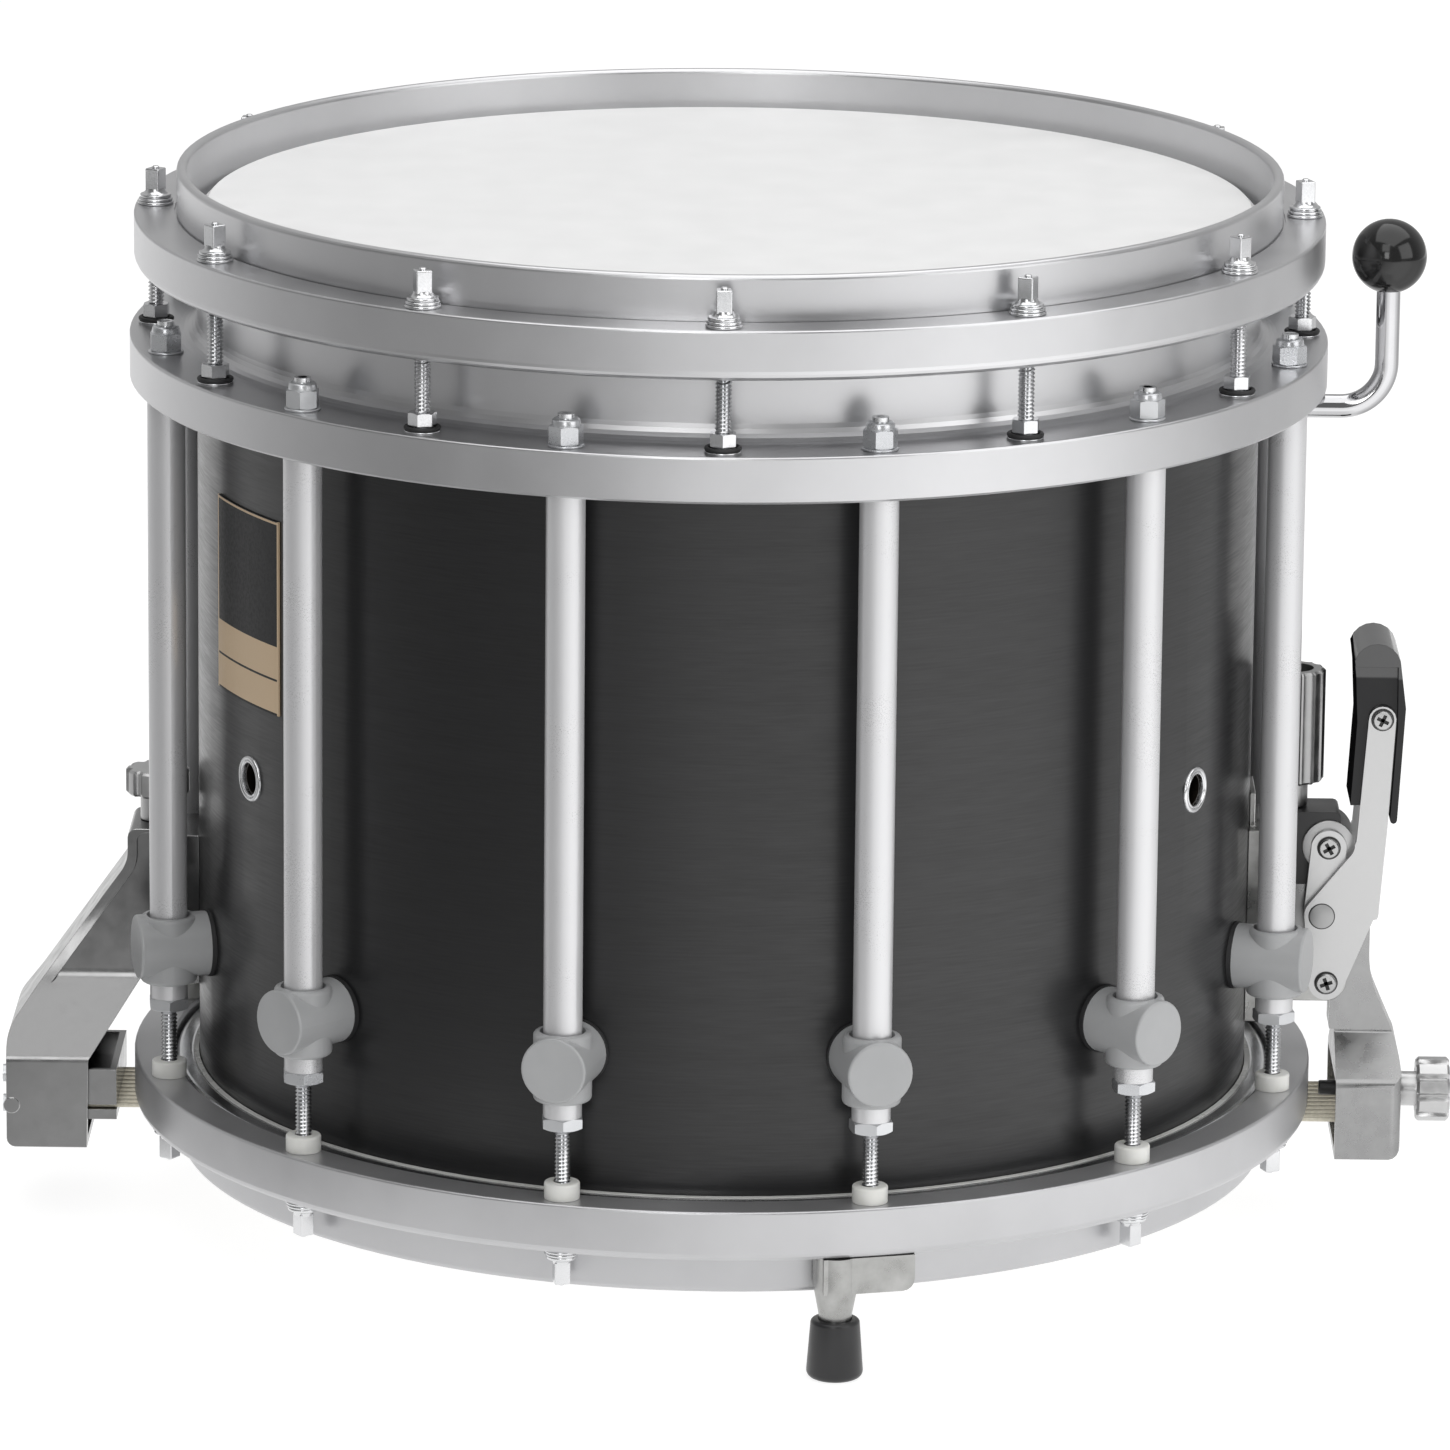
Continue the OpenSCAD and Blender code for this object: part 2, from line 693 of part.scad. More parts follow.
// Fixed base: curved back plate, thin upper tab, sill and two pivot ears
module strainer_base() {
  plate_top = pivot_z + base_up;
  ear_r = 7;
  tab_t = 1.7;
  tab_half = 12;
  tab_h = 11.5;
  sill_t = 13;
  sill_h = 6;
  sill_down = 11;
  color([0.6, 0.6, 0.6]) difference() {
    union() {
      translate([inner_r, -base_half, pivot_z - base_down])
        cube([base_front - inner_r, 2 * base_half, base_up + base_down]);
      translate([inner_r, -tab_half, plate_top - 1])
        cube([shell_r + tab_t - inner_r, 2 * tab_half, tab_h + 1]);
      translate([shell_r, -ear_out, pivot_z - sill_down]) cube([sill_t, 2 * ear_out, sill_h]);
      both_sides() plate_y(ear_in, ear_out) union() {
        translate(pivot) circle(r = ear_r);
        translate([base_front - 1, pivot_z - ear_r]) square([pivot_x - base_front + 1, 2 * ear_r]);
      }
    }
    inside(shell_r);
    along_y(-lever_out, lever_out, pin_r + thread_gap, pivot_x, pivot_z);
    for (z = strainer_screw_z)
      along_x(inner_r, base_front - base_screw_skin, base_screw_r + thread_gap, 0, z);
  }
}

// Screws from inside the shell into a base plate on the +X side
module base_screws(heights, face) {
  for (z = heights) rotate([0, 0, 90]) union()
    wall_screw(z, face - base_screw_skin - body_gap, base_screw_r);
}

module strainer_base_screws() {
  color("silver") base_screws(strainer_screw_z, base_front);
}

module lever_pivot_screws() {
  color("gainsboro") both_sides() union() {
    along_y(ear_in, lever_out + 0.2, pin_r, pivot_x, pivot_z);
    along_y(lever_out + 0.1, lever_out + 0.1 + pin_head_h, pin_head_r, pivot_x, pivot_z);
  }
}

// Side plates of the lever, from the fixed pivot past the rivet to the handle's screw.
// The points are steps in X and Z from the fixed pivot or from the rivet.
grip = pivot + [16.8, 91.9];
grip_screw_r = 2;
grip_head_r = 3.4;
lever_foot_r = 6;
lever_end_r = 4.6;
lever_bend_r = 5.5;
lever_neck_r = 5;
lever_inner_high = [9.6, 56.4];
lever_inner_low = [9.1, 49.4];
lever_neck = [3.6, 47.9];
lever_lip = [-4.3, 4.4];
lever_cheek = [-0.4, 0.5];
lever_hip = [15.4, 22.2];
lever_knee = [11.7, 24.8];
lever_outer = [19.4, 54.8];

module lever_outline() {
  polygon(concat(
    arc(grip, lever_end_r, 5, 178, 8),
    [pivot + lever_inner_high, pivot + lever_inner_low],
    arc(pivot + lever_neck, lever_neck_r, 5, -44, 4),
    [rivet + lever_lip],
    arc(rivet + lever_cheek, lever_bend_r, 135, 185, 4),
    arc(pivot, lever_foot_r, 188, 336, 8),
    [pivot + lever_hip],
    arc(pivot + lever_knee, lever_bend_r, -25, 5, 3),
    [pivot + lever_outer]
  ));
}

module lever_plates() {
  color([0.82, 0.82, 0.82]) both_sides() difference() {
    plate_y(lever_in, lever_out) lever_outline();
    along_y(0, lever_out + 1, pin_r + run_gap, pivot_x, pivot_z);
    along_y(0, lever_out + 1, pin_r + thread_gap, rivet_x, rivet_z);
    along_y(0, lever_out + 1, grip_screw_r + thread_gap, grip[0], grip[1]);
  }
}

// Hollow plastic grip between the plates, with a round cap and an outer strip that stand proud of them.
// The points are steps in X and Z from the fixed pivot.
cap_centre = [14.6, 110.2];
cap_r = 8;
cap_proud = 0.6;
cap_low_left = [7.3, 110.2];
cap_low_right = [21.6, 110.2];
grip_inner_low = [6.8, 61.6];
grip_inner_mid = [8.4, 90.5];
grip_inner_high = [7.6, 106.5];
grip_back_high = [23.6, 98];
grip_back_low = [22.2, 58];
hollow_back = [20.4, 58];
hollow_top = [17.5, 84];
hollow_front = [13.4, 62];
strip_high = [24.5, 96];
strip_inner = [21.9, 89];
strip_tip = [21.3, 57.2];
strip_r = 1.2;

module grip_core() {
  polygon(concat(
    [pivot + grip_inner_low, pivot + grip_inner_mid, pivot + grip_inner_high],
    arc(pivot + cap_centre, cap_r, 164, 15, 8),
    [for (step = [grip_back_high, grip_back_low, hollow_back, hollow_top, hollow_front]) pivot + step]
  ));
}

module grip_cap() {
  polygon(concat(
    [pivot + cap_low_left],
    arc(pivot + cap_centre, cap_r, 164, 15, 8),
    [pivot + strip_high],
    arc(pivot + strip_tip, strip_r, 0, -180, 4),
    [pivot + strip_inner, pivot + cap_low_right]
  ));
}

module lever_handle() {
  cap_half = lever_out + cap_proud;
  color([0.09, 0.09, 0.1]) difference() {
    union() {
      plate_y(-lever_in, lever_in) grip_core();
      plate_y(-cap_half, cap_half) grip_cap();
    }
    along_y(-lever_out, lever_out, grip_screw_r + thread_gap, grip[0], grip[1]);
  }
}

module lever_handle_screws() {
  shank = 8;
  color("gainsboro") both_sides() union() {
    along_y(lever_out - shank, lever_out + 0.2, grip_screw_r, grip[0], grip[1]);
    along_y(lever_out, lever_out + pin_head_h, grip_head_r, grip[0], grip[1]);
  }
}

module toggle_rivets() {
  color([0.7, 0.7, 0.7]) both_sides() along_y(link_in, lever_out, pin_r, rivet_x, rivet_z);
}

module toggle_links() {
  end_r = 6;
  color([0.8, 0.8, 0.8]) both_sides() difference() {
    plate_y(link_in, link_in + plate_t) hull() {
      translate([pivot_x, link_top_z]) circle(r = end_r, $fn = 32);
      translate(rivet) circle(r = end_r, $fn = 32);
    }
    along_y(0, lever_out, pin_r + run_gap, pivot_x, link_top_z);
    along_y(0, lever_out, pin_r + run_gap, rivet_x, rivet_z);
  }
}

// Sliding block that the toggle lifts, with a guide slot below and a pin with steel collars
block_half = 9.5;
block_x0 = base_front + body_gap;
block_over = 4;
block_x1 = pivot_x + block_over;
block_down = 13.5;
block_up = 11.6;
block_z0 = link_top_z - block_down;
block_z1 = link_top_z + block_up;
block_back = 2.5;
block_soft = 2;
boss_r = 8.9;
tongue_half = 5;
tongue_up = 8.3;
knob_off = 3.7;
height_x = shell_r + height_knob_d / 2 + knob_off;
height_stud_r = 3;

module strainer_block() {
  slot_half = tongue_half + body_gap;
  slot_x = block_x0 + block_back;
  color([0.12, 0.12, 0.12]) difference() {
    plate_y(-block_half, block_half) polygon(concat(
      [[block_x0, block_z0], [block_x1, block_z0]],
      arc([block_x1 - block_soft, block_z1 - block_soft], block_soft, 0, 90, 3),
      [[block_x0, block_z1]]
    ));
    translate([slot_x, -slot_half, block_z0 - 1])
      cube([arm_tongue_x1 + body_gap - slot_x, 2 * slot_half, tongue_up + body_gap + 1]);
    translate([height_x, 0, block_z0]) cylinder(h = block_up + block_down + 1, r = height_stud_r + run_gap);
    along_y(-block_half - 1, block_half + 1, pin_r + thread_gap, pivot_x, link_top_z);
  }
}

module block_pivot_pin() {
  link_out = link_in + plate_t + 0.1;
  color("gainsboro") union() {
    along_y(-link_out - 0.1, link_out + 0.1, pin_r, pivot_x, link_top_z);
    both_sides() {
      along_y(block_half, link_in - body_gap, boss_r, pivot_x, link_top_z);
      along_y(link_out, link_out + pin_head_h, pin_head_r, pivot_x, link_top_z);
    }
  }
}

// Tall fluted knob on a round neck, hollow at the top, that turns on the height stud
height_knob_h = 38.8;
height_neck = 8.8;
height_neck_r = 5.4;
knob_seat = 0.3;
knob_wall = 4.2;
knob_hollow = 14;
set_screw_up = 4.5;
set_screw_r = 1.2;

module height_knob() {
  color("silver") translate([height_x, 0, block_z1 + knob_seat]) difference() {
    union() {
      cylinder(h = height_neck + 1, r = height_neck_r);
      translate([0, 0, height_neck]) fluted_knob(height_knob_h, height_knob_d, 14, 2, 1);
    }
    translate([0, 0, -1]) cylinder(h = height_neck + height_knob_h, r = height_stud_r + run_gap);
    translate([0, 0, height_neck + height_knob_h - knob_hollow])
      cylinder(h = knob_hollow + 1, r = height_knob_d / 2 - knob_wall);
    translate([0, 0, height_neck + set_screw_up]) rotate([90, 0, 0])
      cylinder(h = height_knob_d, r = set_screw_r);
  }
}

// Cast arm: tongue in the block, narrow web between the ears, flared shoulder and strand box.
// The casting is what its side outline, its front outline and its rounded plan have in common.
arm_tongue_x0 = block_x0 + 2.8;
arm_tongue_x1 = pivot_x - 3.2;
web_half = ear_in - 0.5;
web_x0 = pivot_x + 1.8;
web_x1 = pivot_x + 14.8;
web_top = block_z0 - body_gap;
web_foot = block_z0 - 18;
flare_top = pivot_z + 9.1;
shoulder_z = bottom_flange_z + 26;
box_x0 = pivot_x + 3.6;
box_x1 = pivot_x + 25.8;
box_top = bottom_flange_z + 10.2;
box_bottom = floor_gap + 0.6;
box_soft = 4;
stud_in = 12;
stud_z = block_z0 - stud_in;
tension_up = 5;
tension_z = strand_z + tension_up;
tension_r = 2.5;

module arm_side() {
  polygon(concat(
    [[arm_tongue_x0, web_foot + 4], [web_x0, web_foot], [web_x0, shoulder_z],
     [box_x0, shoulder_z], [box_x0, box_bottom]],
    arc([box_x1 - box_soft, box_bottom + box_soft], box_soft, -90, 0, 4),
    s_step([box_x1, box_top + 3], [web_x1, flare_top], 30, 40, 6),
    arc([web_x1 - 5, web_top - 5], 5, 0, 90, 4),
    [[arm_tongue_x0, web_top]]
  ));
}

module arm_front() {
  polygon(both_halves(concat(
    [[box_half, box_bottom]],
    s_step([box_half, box_top], [web_half, shoulder_z], box_soft, 1.5),
    [[web_half, web_top]]
  )));
}

module arm_plan() {
  polygon(both_halves(concat(
    [[box_half, arm_tongue_x0]],
    arc([box_half - box_soft, box_x1 - box_soft], box_soft, 0, 90, 4)
  )));
}

module strainer_arm() {
  room = box_half - box_wall;
  color([0.68, 0.68, 0.67]) difference() {
    union() {
      translate([arm_tongue_x0, -tongue_half, web_foot + 4])
        cube([arm_tongue_x1 - arm_tongue_x0, 2 * tongue_half, block_z0 + tongue_up - web_foot - 4]);
      intersection() {
        plate_y(-box_half, box_half) arm_side();
        plate_x(arm_tongue_x0, box_x1) arm_front();
        translate([0, 0, box_bottom]) linear_extrude(web_top - box_bottom) rotate(-90) arm_plan();
      }
    }
    translate([box_x0 - 1, -room, box_bottom + box_wall])
      cube([box_x1 - box_x0 + 1 - box_wall, 2 * room, box_top - box_bottom - box_wall + 1.5]);
    along_x(box_x0, box_x1 + 5, tension_r + run_gap, 0, tension_z);
    translate([height_x, 0, stud_z]) cylinder(h = block_z1 - stud_z, r = height_stud_r + thread_gap);
  }
}

module height_stud() {
  color("silver") translate([height_x, 0, stud_z])
    cylinder(h = block_z1 + height_neck + stud_in - stud_z, r = height_stud_r);
}

// Strand clamps: a lower jaw and an upper jaw that pinch the strands
jaw_low = 3.4;
jaw_gap = run_gap;

module clamp_jaws(x0, x1, high) {
  translate([x0, -jaw_half, strand_z - strand_d / 2 - jaw_gap - jaw_low])
    cube([x1 - x0, 2 * jaw_half, jaw_low]);
  translate([x0, -jaw_half, strand_z + strand_d / 2 + jaw_gap]) cube([x1 - x0, 2 * jaw_half, high]);
}

module clamp_screw_holes(x, high) {
  for (side = [-1, 1]) translate([x, side * clamp_screw_y, strand_z - 20])
    cylinder(h = 20 + high, r = clamp_screw_r + thread_gap);
}

module clamp_screws(x, high) {
  z0 = strand_z - strand_d / 2 - jaw_gap - jaw_low;
  for (side = [-1, 1]) translate([x, side * clamp_screw_y, z0]) union() {
    translate([0, 0, -2.4]) cylinder(h = 2.4, r = 2.6);
    cylinder(h = high, r = clamp_screw_r);
  }
}

clamp_screw_r = 1.2;
clamp_screw_y = strand_pitch * (strands % 2 == 0 ? 1 : 0.5);
clamp_x0 = box_x0 + 2.6;
clamp_x1 = box_x1 - box_wall - 6;
clamp_high = 9;

module strainer_clamp() {
  color("silver") difference() {
    clamp_jaws(clamp_x0, clamp_x1, clamp_high);
    clamp_screw_holes((clamp_x0 + clamp_x1) / 2, 6);
    along_x(clamp_x0 - 1, clamp_x1 + 1, tension_r + run_gap, 0, tension_z);
  }
}

module strainer_clamp_screws() {
  color("gainsboro") clamp_screws((clamp_x0 + clamp_x1) / 2, 9);
}

// Knob, collar and screw that set the strands' tension
tension_knob_h = 11.2;
tension_collar = 6.2;

module tension_knob() {
  start = box_x1 + body_gap;
  color("silver") union() {
    along_x(clamp_x0 - 7, start + 1, tension_r, 0, tension_z);
    along_x(start, start + tension_collar, 5.9, 0, tension_z);
    translate([start + tension_collar - 0.1, 0, tension_z]) rotate([0, 90, 0])
      fluted_knob(tension_knob_h, tension_knob_d, 10, 2.4, 1);
  }
}

// Butt plate: the same parts mirrored to -X, with a long sloping arm and no lever
butt_half = 15;
butt_web = butt_half - 2;
butt_x = shell_r + 14.25;
butt_t = 6;
butt_face = shell_r + butt_t;
butt_up = 46.8;
butt_down = 5;
butt_base_top = pivot_z + butt_up;
butt_base_z = pivot_z - butt_down;
butt_screw_low = 10;
butt_screw_high = 40;
butt_screw_z = [pivot_z + butt_screw_low, pivot_z + butt_screw_high];
butt_out = shell_r + 23.6;
butt_box_x0 = shell_r + 37;
butt_box_x1 = shell_r + 64.2;
butt_box_top = bottom_flange_z + 14;
butt_box_bottom = floor_gap - 0.6;
butt_bend_z = pivot_z - 0.4;
butt_flare_up = 41.1;
butt_flare = pivot_z + butt_flare_up;
butt_arm_up = 16;
butt_arm_low = pivot_z + butt_arm_up;
butt_arm_h = 32.9;
butt_arm_top = butt_arm_low + butt_arm_h;
butt_arm_x0 = butt_face + body_gap;
butt_knob_d = 21.5;
butt_knob_h = 8.8;
butt_neck = 8.8;
butt_neck_r = 5.9;
butt_pin_r = 2.7;
butt_pin_z = strand_z + 1.3;
butt_end_y = jaw_half - 6;
butt_end_z = [strand_z - 0.5, strand_z + 10];

// Boss of the base inside the arm's back: the knob's screw runs in its thread and draws the arm up
slide_travel = 3;
butt_boss_half = 7;
butt_boss_x1 = butt_x + 6.2;
butt_boss_z = pivot_z + 22;
butt_boss_h = 14;

module butt_side() {
  mirror([1, 0, 0]) children();
}

module butt_base() {
  color([0.6, 0.6, 0.6]) butt_side() difference() {
    union() {
      translate([inner_r, -butt_half, butt_base_z])
        cube([butt_face - inner_r, 2 * butt_half, butt_base_top - butt_base_z]);
      translate([shell_r, -butt_boss_half, butt_boss_z])
        cube([butt_boss_x1 - shell_r, 2 * butt_boss_half, butt_boss_h]);
    }
    inside(shell_r);
    translate([butt_x, 0, butt_boss_z - 1]) cylinder(h = butt_boss_h + 2, r = height_stud_r + thread_gap);
    for (z = butt_screw_z) along_x(inner_r, butt_face - base_screw_skin, base_screw_r + thread_gap, 0, z);
  }
}

module butt_base_screws() {
  color("silver") butt_side() base_screws(butt_screw_z, butt_face);
}

module butt_arm_side() {
  polygon(concat(
    [[butt_arm_x0, butt_arm_low], [butt_box_x0 - 0.6, butt_box_top + 1], [butt_box_x0, butt_box_bottom]],
    arc([butt_box_x1 - 3, butt_box_bottom + 3], 3, -90, 0, 4),
    s_step([butt_box_x1, butt_box_top + 5], [butt_out, butt_flare], 16, 12),
    arc([butt_out - 3, butt_arm_top - 3], 3, 0, 90, 4),
    [[butt_arm_x0, butt_arm_top]]
  ));
}

module butt_arm_front() {
  polygon(both_halves(concat(
    [[box_half, butt_box_bottom]],
    s_step([box_half, butt_box_top], [butt_web, butt_bend_z], 6, 8),
    [[butt_web, butt_arm_top]]
  )));
}

// Sliding arm: a web on the base, edged by a flange, that slopes out and flares to the strand box
module butt_arm() {
  room = box_half - box_wall;
  flange_w = 3.2;
  flange_drop = 1.4;
  pin_over = 0.5;
  color([0.66, 0.66, 0.66]) butt_side() difference() {
    union() {
      intersection() {
        plate_y(-box_half, box_half) butt_arm_side();
        plate_x(butt_arm_x0, butt_box_x1) butt_arm_front();
      }
      difference() {
        plate_y(-butt_half, butt_half) butt_arm_side();
        translate([-flange_w, 0, -flange_drop]) plate_y(-butt_half - 1, butt_half + 1) butt_arm_side();
      }
      both_sides() along_y(room, box_half + pin_over, butt_pin_r, butt_box_x1 - 1.8, butt_pin_z);
    }
    translate([butt_arm_x0 - 1, -butt_boss_half - body_gap, butt_boss_z - body_gap]) cube([
      butt_boss_x1 + body_gap - butt_arm_x0 + 1, 2 * (butt_boss_half + body_gap),
      butt_boss_h + slide_travel + 2 * body_gap
    ]);
    translate([butt_x, 0, butt_boss_z])
      cylinder(h = butt_arm_top - butt_boss_z + 1, r = height_stud_r + run_gap);
    translate([butt_box_x0 - 3, -room, butt_box_bottom + box_wall])
      cube([butt_box_x1 - butt_box_x0 + 3 - box_wall, 2 * room, butt_box_top - butt_box_bottom - box_wall]);
    butt_end_screws(thread_gap);
  }
}

// Pan-head screws in the outer wall of the strand box
module butt_end_screws(gap = 0) {
  for (side = [-1, 1], z = butt_end_z)
    along_x(butt_box_x1 - box_wall + body_gap, butt_box_x1 + 1, 1.5 + gap, side * butt_end_y, z);
}

module butt_knob() {
  seat = butt_arm_top + knob_seat;
  tip = butt_boss_z + 2;
  color("silver") butt_side() translate([butt_x, 0, 0]) union() {
    translate([0, 0, seat]) cylinder(h = butt_neck + 1, r = butt_neck_r);
    translate([0, 0, seat + butt_neck]) fluted_knob(butt_knob_h, butt_knob_d, 10, 2.2, 1);
    translate([0, 0, tip]) cylinder(h = seat + 1 - tip, r = height_stud_r);
  }
}

butt_clamp_x0 = butt_box_x0 - 9.9;
butt_clamp_x1 = butt_box_x1 - box_wall;

// Butt clamp: a shallow tray over the strands, screwed to a lower jaw
module butt_clamp() {
  high = 12.3;
  rim = 2.2;
  floor_t = 4;
  color([0.5, 0.5, 0.5]) butt_side() difference() {
    clamp_jaws(butt_clamp_x0, butt_clamp_x1, high);
    clamp_screw_holes(butt_clamp_x0 + 5, floor_t);
    translate([butt_clamp_x0 + rim, rim - jaw_half, strand_z + strand_d / 2 + floor_t])
      cube([butt_clamp_x1 - butt_clamp_x0 - 2 * rim, 2 * (jaw_half - rim), high]);
  }
}

module butt_clamp_screws() {
  color("gainsboro") butt_side() {
    clamp_screws(butt_clamp_x0 + 5, 6);
    for (side = [-1, 1], z = butt_end_z)
      along_x(butt_box_x1 + run_gap, butt_box_x1 + 1.7, 3, side * butt_end_y, z);
    butt_end_screws();
  }
}

// Gut strands, held taut between the two clamps
module snare_strands() {
  color([0.9, 0.86, 0.72]) for (y = strand_y)
    along_x(-butt_clamp_x1 + 4, clamp_x1 - 1, strand_d / 2, y, strand_z);
}

// Ball lever for the snares under the batter head
ball_axis_z = ring_z - 9.1;
ball_x = shell_r + 42.5;
ball_rise = 51.3;
bend_r = 15;
bush_barrel_r = 7;
bush_head = 4;
cam_x0 = inner_r - 20;
cam_w = 6;

module ball_lever_rod() {
  rod = ball_rod_d / 2;
  color("gainsboro") union() {
    along_x(cam_x0 - cam_w, ball_x - bend_r, rod, 0, ball_axis_z);
    translate([ball_x - bend_r, 0, ball_axis_z + bend_r]) rotate([90, 0, 0]) rotate([0, 0, -90])
      rotate_extrude(angle = 90) translate([bend_r, 0]) circle(r = rod);
    translate([ball_x, 0, ball_axis_z + bend_r]) cylinder(h = ball_rise - bend_r, r = rod);
  }
}

module ball_knob() {
  color([0.05, 0.05, 0.05]) translate([ball_x, 0, ball_axis_z + ball_rise]) difference() {
    sphere(d = ball_d);
    translate([-ball_d, -ball_d, -ball_d - ball_d / 2 + 1.2]) cube([2 * ball_d, 2 * ball_d, ball_d]);
    translate([0, 0, -ball_d]) cylinder(h = ball_d, r = ball_rod_d / 2 + run_gap);
  }
}

module ball_lever_bush() {
  color("silver") difference() {
    union() {
      along_x(inner_r - 7, shell_r + bush_head, bush_barrel_r, 0, ball_axis_z);
      difference() {
        along_x(shell_r - 1, shell_r + bush_head, 9, 0, ball_axis_z);
        inside(shell_r);
      }
    }
    along_x(inner_r - 20, shell_r + 20, ball_rod_d / 2 + run_gap, 0, ball_axis_z);
  }
}

module ball_lever_nut() {
  color("silver") translate([inner_r - 6, 0, ball_axis_z]) rotate([0, 90, 0]) difference() {
    cylinder(h = 4.6, d = 20, $fn = 6);
    translate([0, 0, -1]) cylinder(h = 8, r = bush_barrel_r + thread_gap);
  }
}

// Cam whose lift falls evenly as the lever turns, under the frame's foot
cam_high = 11.5;
cam_hub_r = 6;
cam_drop = 5;
cam_rate = cam_drop / 90;
cam_slope = cam_drop / (PI / 2);

function cam_lift(a) = cam_high - cam_rate * a;
function cam_point(a) =
  [cam_lift(a) * sin(a) - cam_slope * cos(a), cam_lift(a) * cos(a) + cam_slope * sin(a)];

module lift_cam() {
  color("silver") translate([cam_x0 - cam_w, 0, ball_axis_z]) rotate([90, 0, 90]) difference() {
    union() {
      linear_extrude(cam_w) polygon(concat([for (a = [-8 : 4 : 96]) cam_point(a)], [[0, -3], [-3, 0]]));
      cylinder(h = cam_w, r = cam_hub_r);
    }
    translate([0, 0, -1]) cylinder(h = cam_w + 2, r = ball_rod_d / 2 + run_gap);
  }
}

// Upper snare frame: two rails, two end bars and a leg that rests on the cam
wire_r = 0.6;
wire_z = crest_z - body_gap - wire_r;
frame_z = wire_z - wire_r - 7;
frame_half = 30;
hinge_x = 10 - inner_r;
hinge_pin_r = 2.5;
hinge_screw_r = 2;
hinge_screw_end = shell_r - 0.8;
hinge_screw_z = [frame_z - 10, frame_z - 26];
bar_w = 8;
bar_in = 6;
rail = 5;
rail_y = frame_half - rail;
hinge_z = frame_z + rail / 2;
hinge_eye_r = 4;
leg_half = 8;

module upper_snare_frame() {
  foot_z = ball_axis_z + cam_high + body_gap;
  bar_x1 = cam_x0;
  bar_h = wire_z - frame_z;
  color([0.7, 0.7, 0.7]) difference() {
    union() {
      both_sides() translate([hinge_x, rail_y, frame_z]) cube([bar_x1 - hinge_x, rail, rail]);
      both_sides() along_y(rail_y, frame_half, hinge_eye_r, hinge_x, hinge_z);
      translate([hinge_x + bar_in, -frame_half, frame_z]) cube([bar_w, 2 * frame_half, bar_h]);
      translate([bar_x1 - bar_w, -frame_half, frame_z]) cube([bar_w, 2 * frame_half, bar_h]);
      translate([bar_x1 - cam_w, -leg_half, foot_z]) cube([cam_w, 2 * leg_half, frame_z - foot_z + 1]);
    }
    along_y(-frame_half - 1, frame_half + 1, hinge_pin_r + run_gap, hinge_x, hinge_z);
    for (y = strand_y) along_x(hinge_x, bar_x1 + 1, wire_r + thread_gap, y, wire_z);
  }
}

module upper_snare_wires() {
  color("silver") for (y = strand_y) along_x(hinge_x + bar_in, cam_x0, wire_r, y, wire_z);
}

// Hinge bracket inside the shell at the far end of the frame, with its pin
module upper_snare_hinge() {
  wall = 3;
  half = 18;
  low = 32;
  tall = 36;
  ear_w = rail_y - body_gap - half;
  ear_in_x = 15;
  ear_low = 3;
  ear_h = 9.5;
  color([0.7, 0.7, 0.7]) union() {
    intersection() {
      union() {
        translate([-inner_r - 1, -half, frame_z - low]) cube([2 * wall, 2 * half, tall]);
        both_sides() translate([-inner_r, half - wall, frame_z - ear_low])
          cube([ear_in_x, ear_w + wall, ear_h]);
      }
      inside(inner_r);
    }
    both_sides() along_y(half, frame_half + 1, hinge_pin_r, hinge_x, hinge_z);
    for (z = hinge_screw_z) along_x(-hinge_screw_end, wall - inner_r, hinge_screw_r, 0, z);
  }
}

shell();
vent_grommets();
badge_plate();
top_ring();
batter_head();
batter_flesh_hoop();
batter_hoop();
top_tension_rods();
top_rod_washers();
top_rod_nuts();
top_rod_o_rings();
ring_lock_nuts();
ring_nut_washers();
tube_studs();
tension_tubes();
tube_lugs();
lug_gaskets();
lug_screws();
tube_end_nuts();
bottom_tension_rods();
bottom_rod_washers();
bottom_bushes();
bottom_hoop();
snare_head();
snare_flesh_hoop();
foot_brackets();
foot_rubbers();
strainer_base();
strainer_base_screws();
lever_pivot_screws();
lever_plates();
lever_handle();
lever_handle_screws();
toggle_rivets();
toggle_links();
strainer_block();
block_pivot_pin();
height_knob();
strainer_arm();
height_stud();
strainer_clamp();
strainer_clamp_screws();
tension_knob();
butt_base();
butt_base_screws();
butt_arm();
butt_knob();
butt_clamp();
butt_clamp_screws();
snare_strands();
ball_lever_rod();
ball_knob();
ball_lever_bush();
ball_lever_nut();
lift_cam();
upper_snare_frame();
upper_snare_wires();
upper_snare_hinge();
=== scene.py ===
"""Marching snare drum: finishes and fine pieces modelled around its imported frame."""

import math

import bpy
from mathutils import Matrix, Vector


